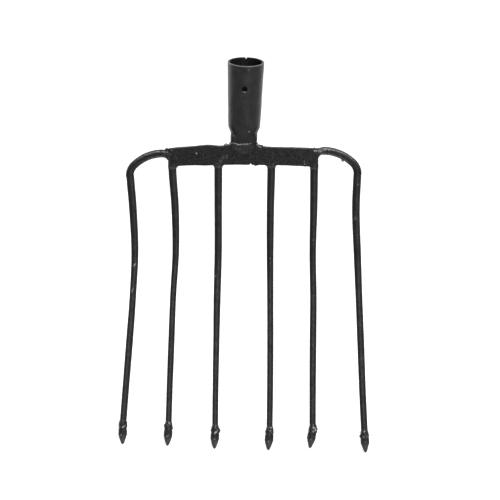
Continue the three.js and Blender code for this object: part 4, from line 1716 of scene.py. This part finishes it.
@dataclass
class RootWeld:
    """Bead that joins a rod to the bar and runs out along the bar in a hollow.

    Its toe is a run of droplets where it meets the bar; spots are a faint painted highlight along its front.
    """

    flare: float = 3.0
    edge: float = 0.25
    rise: float = 4.0
    lap: float = 2.4
    hollow: float = 2.0
    sides: int = 40
    steps: int = 14
    droplet: float = 0.8
    first_seed: int = 30
    toe_rise: float = 0.9
    toe_inset: float = 0.35
    toe_share: float = 0.7
    # a faint painted highlight round the bead's front: angles, rise, bow, then reach and how bright
    spot_angles: Row = tuple(range(-60, 61, 15))
    spot_rise: float = 1.2
    spot_bow: float = 0.9
    toe_highlight: Row = (0.8, 0.09)

    def flare_at(self, tine: Tine, ways: Array) -> Array:
        """How far the bead reaches over the rod at the bar.

        Args:
            tine: The tine.
            ways: Ways out from the rod's middle.

        Returns:
            One reach for each way.
        """
        left, right, under = tine.flare_shares
        parts = np.stack([-ways[:, 0], ways[:, 0], -ways[:, 2]], 1)
        return self.flare * (np.maximum(parts, 0.0) ** 2 @ np.array([left, right, under]))

    def build(self, rack: Rack, tine: Tine, welder: Welder) -> bpy.types.Object:
        """Lays the bead round a rod's root.

        Args:
            rack: The tines.
            tine: The tine.
            welder: What lays the bead.

        Returns:
            The bead.
        """
        bar = rack.bar
        if tine.seat is Seat.END:
            centre = np.array([tine.side * bar.length / 2.0, 0.0, -tine.seat_share * bar.height])
            axis = np.array([tine.side, 0.0, 0.0])
        else:
            x = rack.root_place(tine)
            centre, axis = np.array([x, 0.0, bar.foot(x)]), DOWN
        angles = full_turn(self.sides)
        front, side = ring_frame(axis)
        ways = np.outer(np.cos(angles), front) + np.outer(np.sin(angles), side)
        dip = tine.root_dip / 2.0
        centre[2] -= dip + tine.root_sag
        rod = rack.root_diameter / 2.0 + COAT - dip
        flare = self.flare_at(tine, ways)
        shape = Shape()
        rings = []
        for along in np.linspace(-self.lap, self.rise, self.steps):
            out = np.clip(1.0 - along / self.rise, 0.0, 1.0) ** self.hollow
            rings.append(centre + axis * along + ways * (rod + self.edge + flare * out)[:, None])
        shape.loft(welder.pose.place(np.array(rings)))
        toe = centre + axis * self.toe_rise + ways * (rod - self.toe_inset + self.toe_share * flare)[:, None]
        shape.path(welder.pose.place(toe), closed=True)
        marks = [cap.mark(welder.pose) for cap in tine.caps]
        for cap in tine.caps:
            shape.ball(welder.pose.place(cap.place), cap.radius)
        # faint painted highlight round the front of an inner tine's bead
        for angle in np.radians(() if tine.seat is Seat.END else self.spot_angles):
            spot = centre + axis * (self.spot_rise + self.spot_bow * math.cos(angle))
            spot = spot + rod * (front * math.cos(angle) + side * math.sin(angle))
            marks.append(welder.pose.mark(spot, *self.toe_highlight))
        return welder.lay(f"tine_bead_{tine.number}", f"tine_weld_{tine.number}", shape, self.droplet,
                          self.first_seed + tine.number, marks)


@dataclass
class NeckWeld:
    """Fillet round the neck's foot, with a wavy upper run and a second run down the bar's faces.

    Runs are pairs of sideways place and height; the upper one carries a painted highlight in front within the
    lit range. Glints, painted highlights on the toes and fainter ones down the front, are x, y, z, reach and
    how bright. Toe levels are a height, and how far the ends of the low bead and the bar's faces are passed
    there.
    """

    toe: float = 6.6
    swell: float = 0.8
    rise: float = 2.8
    lap: float = 9.5
    under: float = 1.0
    edge: float = 0.4
    flank_inset: float = 0.6
    full_share: float = 0.6
    waist_share: float = 0.33
    waist_height: float = 0.6
    upper_height: float = 1.8
    face_share: float = 0.5
    toe_levels: tuple[Row, ...] = ((-3.0, -1.0, -0.1), (-1.6, 0.0, 0.2), (-0.6, -1.6, 0.2))
    sides: int = 72
    droplet: float = 0.85
    seed: int = 5
    run_points: int = 41
    upper_out: float = 0.5
    lower_out: float = 0.1
    # painted highlight along the upper run's front
    lit_range: Row = (-13.2, 8.0)
    lit_way: Row = (0.0, -0.5, 0.5)
    lit_mark: Row = (1.0, 1.0)
    upper_run: tuple[Row, ...] = (
        (-12.8, 2.6), (-11.4, 2.9), (-8.0, 2.2), (-5.2, 1.3), (0.4, 2.2), (4.0, 2.0), (7.1, 2.7), (11.0, 2.0),
        (12.8, 1.6),
    )
    lower_run: tuple[Row, ...] = ((-13.0, -9.0), (-7.0, -6.4), (-1.3, -4.5), (5.0, -6.6), (12.3, -9.3))
    # bright drops carry a painted highlight
    drops: tuple[Blob, ...] = blobs(
        (-20.6, -0.6, -0.3, 1.2), (-19.2, -0.6, 0.6, 1.2), (-17.2, -1.0, 0.0, 1.2, 0.3),
        (-15.2, -3.0, 0.9, 0.8, 1.4), (-16.6, -3.2, 0.4, 0.8, 1.4), (-18.2, -3.2, 0.0, 0.8, 1.6),
        (-19.8, -3.2, -0.5, 0.8, 1.2), (-15.2, -0.8, 0.6, 1.2, 0.2), (15.6, -0.6, 1.4, 1.2, 0.1),
        (17.0, -1.0, -0.3, 1.2, 0.1), (19.0, -0.8, -0.7, 1.2), (21.2, -0.8, -1.0, 1.2, 0.1),
        (15.9, -3.2, 0.2, 0.9, 1.2), (17.3, -3.8, -0.9, 0.9, 1.5), (18.7, -4.0, -1.7, 0.9, 1.6),
        (20.0, -3.8, -2.1, 0.8, 0.8),
    )
    # painted highlights on the toes, fainter ones down the front
    glints: tuple[Row, ...] = (
        (-20.0, -2.2, -0.1, 0.8, 1.2), (-18.6, -1.6, 0.3, 0.8, 1.8), (-17.2, -1.5, 0.8, 0.8, 1.4),
        (-15.8, -1.5, 1.2, 0.8, 2.0), (-14.7, -2.0, 1.8, 0.8, 1.6), (15.2, -2.4, 0.6, 0.8, 1.6),
        (16.2, -3.9, 0.2, 0.8, 1.6), (17.5, -4.4, -0.7, 0.8, 1.8), (-19.0, -4.8, -2.6, 1.2, 0.2),
        (-16.0, -4.8, -2.4, 1.2, 0.2), (-13.0, -5.0, -2.6, 1.2, 0.15), (-8.0, -6.6, -3.4, 1.2, 0.15),
        (-4.0, -7.2, -3.8, 1.2, 0.15),
    )

    def build(self, socket: Socket, bar: Crossbar, welder: Welder) -> bpy.types.Object:
        """Lays the bead on the bar's top and down both its faces.

        Args:
            socket: The socket.
            bar: The bar.
            welder: What lays the bead.

        Returns:
            The bead.
        """
        pose = welder.pose
        half_neck, half_deep = socket.neck_width / 2.0 + COAT, socket.neck_depth / 2.0 + COAT
        half_bar = bar.thickness / 2.0 + COAT
        turn = full_turn(self.sides)
        shape = Shape()
        for levels in (self.apron(half_neck, half_deep, half_bar), self.toes(half_neck, half_bar)):
            rings = [np.stack([x * np.cos(turn), y * np.sin(turn), np.full(self.sides, z)], 1)
                     for z, x, y in levels]
            shape.loft(pose.place(np.array(rings)))
        marks = pose.marks(self.glints) + [drop.mark(pose) for drop in self.drops]
        for way in (-1.0, 1.0):
            upper = self.run(self.upper_run, way,
                             lambda x: half_deep * np.sqrt(1.0 - (x / half_neck) ** 2) + self.upper_out)
            lower = self.run(self.lower_run, way, lambda x: np.full_like(x, half_bar + self.lower_out))
            shape.path(pose.place(upper))
            shape.path(pose.place(lower))
            if way < 0:
                # painted highlight along the front of the upper run
                lit = upper[(upper[:, 0] > self.lit_range[0]) & (upper[:, 0] < self.lit_range[1])]
                marks += [pose.mark(place, *self.lit_mark) for place in lit + np.array(self.lit_way)]
        for drop in self.drops:
            shape.ball(pose.place(drop.place), drop.radius)
        return welder.lay("socket_bead", "socket_weld", shape, self.droplet, self.seed, marks)

    def apron(self, half_neck: float, half_deep: float, half_bar: float) -> list[Row]:
        """Levels of the fillet, from the bar's faces up to the neck.

        Args:
            half_neck: Half the neck's width.
            half_deep: Half the neck's depth.
            half_bar: Half the bar's thickness.

        Returns:
            Height, half width and half depth of each level.
        """
        foot, middle = half_neck - self.toe, lerp(half_bar, half_deep, self.face_share)
        wide, deep = half_neck + self.edge, half_deep + self.swell / 2.0
        return [
            (-self.lap - self.under, foot, half_bar - self.edge),
            (-self.lap, half_neck - self.toe * self.full_share, half_bar + self.edge / 2.0),
            (-self.lap * self.face_share, half_neck - self.flank_inset, middle + self.edge),
            (0.0, wide, deep),
            (self.rise * self.full_share, wide, deep),
            (self.rise, half_neck, half_deep),
        ]

    def toes(self, half_neck: float, half_bar: float) -> list[Row]:
        """Levels of the low bead along the bar's top, on each side of the neck.

        Args:
            half_neck: Half the neck's width.
            half_bar: Half the bar's thickness.

        Returns:
            Height, half width and half depth of each level.
        """
        reach = half_neck + self.toe
        return [(height, reach + past, half_bar + out) for height, past, out in self.toe_levels] + [
            (self.waist_height, half_neck + self.toe * self.waist_share, half_bar),
            (self.upper_height, half_neck + self.edge * 2.0, half_bar),
            (self.rise, half_neck + self.edge, half_bar),
        ]

    def run(self, stations: Sequence[Row], way: float, depth: Callable[[Array], Array]) -> Array:
        """Points of a run of weld across the front or the back.

        Args:
            stations: Pairs of sideways place and height.
            way: -1 in front, 1 behind, where the run is mirrored.
            depth: Gives the distance from the bar's middle plane at sideways places.

        Returns:
            The points in the head's frame.
        """
        x = np.linspace(stations[0][0], stations[-1][0], self.run_points)
        return np.stack([-way * x, way * depth(x), through(stations, x)], 1)


# Studio


@dataclass(frozen=True)
class PhotoCamera:
    """Camera at the photograph's place, found from the mouth's place and width in the picture."""

    lens: float = 160.0
    sensor: float = 36.0
    image_pixels: float = 500.0
    mouth_pixels: Row = (245.95, 62.1)
    mouth_width_pixels: float = 36.02
    mouth_diameter: float = 40.0
    elevation: float = 19.95
    roll: float = 1.7
    clip: Row = (0.05, 50.0)

    def build(self) -> bpy.types.Object:
        """Makes the scene's camera.

        Returns:
            The camera.
        """
        focal = self.lens / self.sensor * self.image_pixels
        distance = focal * self.mouth_diameter / self.mouth_width_pixels
        rise, roll = math.radians(self.elevation), math.radians(self.roll)
        ahead = np.array([0.0, math.cos(rise), -math.sin(rise)])
        level_up = np.array([0.0, math.sin(rise), math.cos(rise)])
        level_right = np.array([1.0, 0.0, 0.0])
        up = level_up * math.cos(roll) - level_right * math.sin(roll)
        right = level_right * math.cos(roll) + level_up * math.sin(roll)
        across = (self.mouth_pixels[0] - self.image_pixels / 2.0) / focal * distance
        over = (self.image_pixels / 2.0 - self.mouth_pixels[1]) / focal * distance
        place = -(right * across + up * over + ahead * distance) * MM
        data = bpy.data.cameras.new("photo_camera")
        data.lens, data.sensor_width = self.lens, self.sensor
        data.clip_start, data.clip_end = self.clip
        camera = bpy.data.objects.new("photo_camera", data)
        turn = Matrix(np.column_stack([right, up, -ahead]).tolist()).to_4x4()
        camera.matrix_world = Matrix.Translation(Vector(place)) @ turn
        bpy.context.scene.collection.objects.link(camera)
        bpy.context.scene.camera = camera
        return camera


@dataclass(frozen=True)
class SoftLight:
    """A lamp with a wide face that is turned to the head's middle."""

    name: str
    place: Row
    width: float
    height: float
    watts: float

    def build(self, target: Vector) -> None:
        """Hangs the lamp.

        Args:
            target: The head's middle, from which the lamp's place is given, in metres.
        """
        data = bpy.data.lights.new(self.name, "AREA")
        data.shape, data.size, data.size_y, data.energy = "RECTANGLE", self.width, self.height, self.watts
        lamp = bpy.data.objects.new(self.name, data)
        lamp.location = target + Vector(self.place)
        lamp.rotation_euler = (-Vector(self.place)).to_track_quat("-Z", "Y").to_euler()
        bpy.context.scene.collection.objects.link(lamp)


@dataclass(frozen=True)
class Studio:
    """White ground, white surroundings and soft lamps."""

    floor_side: float = 60.0
    floor_tone: float = 0.8
    floor_lift: float = 0.68
    world_level: float = 0.3

    def lamps(self) -> tuple[SoftLight, ...]:
        """The lamps, with places in metres from the middle of the head."""
        return (
            SoftLight("tall_front", (0.62, -1.55, 0.45), 0.35, 1.5, 12.0),
            SoftLight("overhead", (0.15, -0.4, 1.6), 0.3, 0.3, 20.0),
            SoftLight("left_strip", (-1.24, 0.8, 0.35), 0.8, 1.0, 10.5),
            SoftLight("right_strip", (1.26, 0.98, 0.35), 0.3, 1.0, 4.5),
        )

    def seen(self, nodes: Tree) -> Link:
        """Tells rays of the camera, of a reflection or of a clear body from light that is spread.

        Args:
            nodes: The tree that needs to know.

        Returns:
            One for the former and zero for the latter.
        """
        path = nodes.node("ShaderNodeLightPath").outputs
        total = path["Is Camera Ray"]
        for name in ("Is Glossy Ray", "Is Transmission Ray"):
            total = nodes.maths("MAXIMUM", total, path[name])
        return total

    def build_world(self) -> None:
        """Makes white surroundings, which light the head at a plain level."""
        world = bpy.data.worlds.new("studio_world")
        world.use_nodes = True
        nodes = Tree(world.node_tree)
        ground = world.node_tree.nodes["Background"]
        ground.inputs["Color"].default_value = (1.0, 1.0, 1.0, 1.0)
        levels = {"To Min": self.world_level, "To Max": 1.0}
        level = nodes.made("ShaderNodeMapRange", {"Value": self.seen(nodes), **levels})
        world.node_tree.links.new(level, ground.inputs["Strength"])
        bpy.context.scene.world = world

    def build_floor(self, lowest: float) -> None:
        """Lays a white floor under the points, which keeps the head's shadow.

        Args:
            lowest: Height of the lowest point, in metres.
        """
        half = self.floor_side / 2.0 / MM
        shape = Shape()
        corners = ((-half, -half), (half, -half), (half, half), (-half, half))
        shape.add(np.array([[x, y, lowest / MM] for x, y in corners]))
        shape.faces.append((0, 1, 2, 3))
        floor = shape.piece("floor")
        material, nodes = blank_material("floor white")
        diffuse = nodes.made("ShaderNodeBsdfDiffuse", {"Color": (self.floor_tone,) * 3 + (1.0,)})
        lift = nodes.maths("MULTIPLY", self.seen(nodes), self.floor_lift)
        glow = nodes.made("ShaderNodeEmission", {"Strength": lift})
        nodes.node("ShaderNodeOutputMaterial", {0: nodes.made("ShaderNodeAddShader", {0: diffuse, 1: glow})})
        floor.data.materials.append(material)

    def build(self, low: Vector, high: Vector) -> None:
        """Sets the studio round the head's box.

        Args:
            low: The box's low corner, in metres.
            high: Its high corner.
        """
        self.build_world()
        self.build_floor(low.z)
        for lamp in self.lamps():
            lamp.build((low + high) / 2.0)


def main() -> None:
    """Builds the head, piece by piece, and the studio round it."""
    logging.basicConfig(level=logging.INFO, format="%(name)s: %(message)s")
    bpy.context.scene.view_settings.view_transform = "Standard"
    PhotoCamera().build()
    finishes = Finishes()
    pose = HeadPose()
    socket, bar = Socket(), Crossbar()
    rack = Rack(bar, pose, finishes, rod_recipe())
    welder = Welder(weld_recipe(), pose, finishes)
    socket.build(pose, finishes)
    bar.build(pose, finishes)
    NeckWeld().build(socket, bar, welder)
    for tine in TINES:
        rack.build_rod(tine)
        rack.build_spike(tine)
        RootWeld().build(rack, tine, welder)
        TipWeld().build(rack, tine, welder)
    Studio().build(*cad_box)


if __name__ == "__main__":
    main()
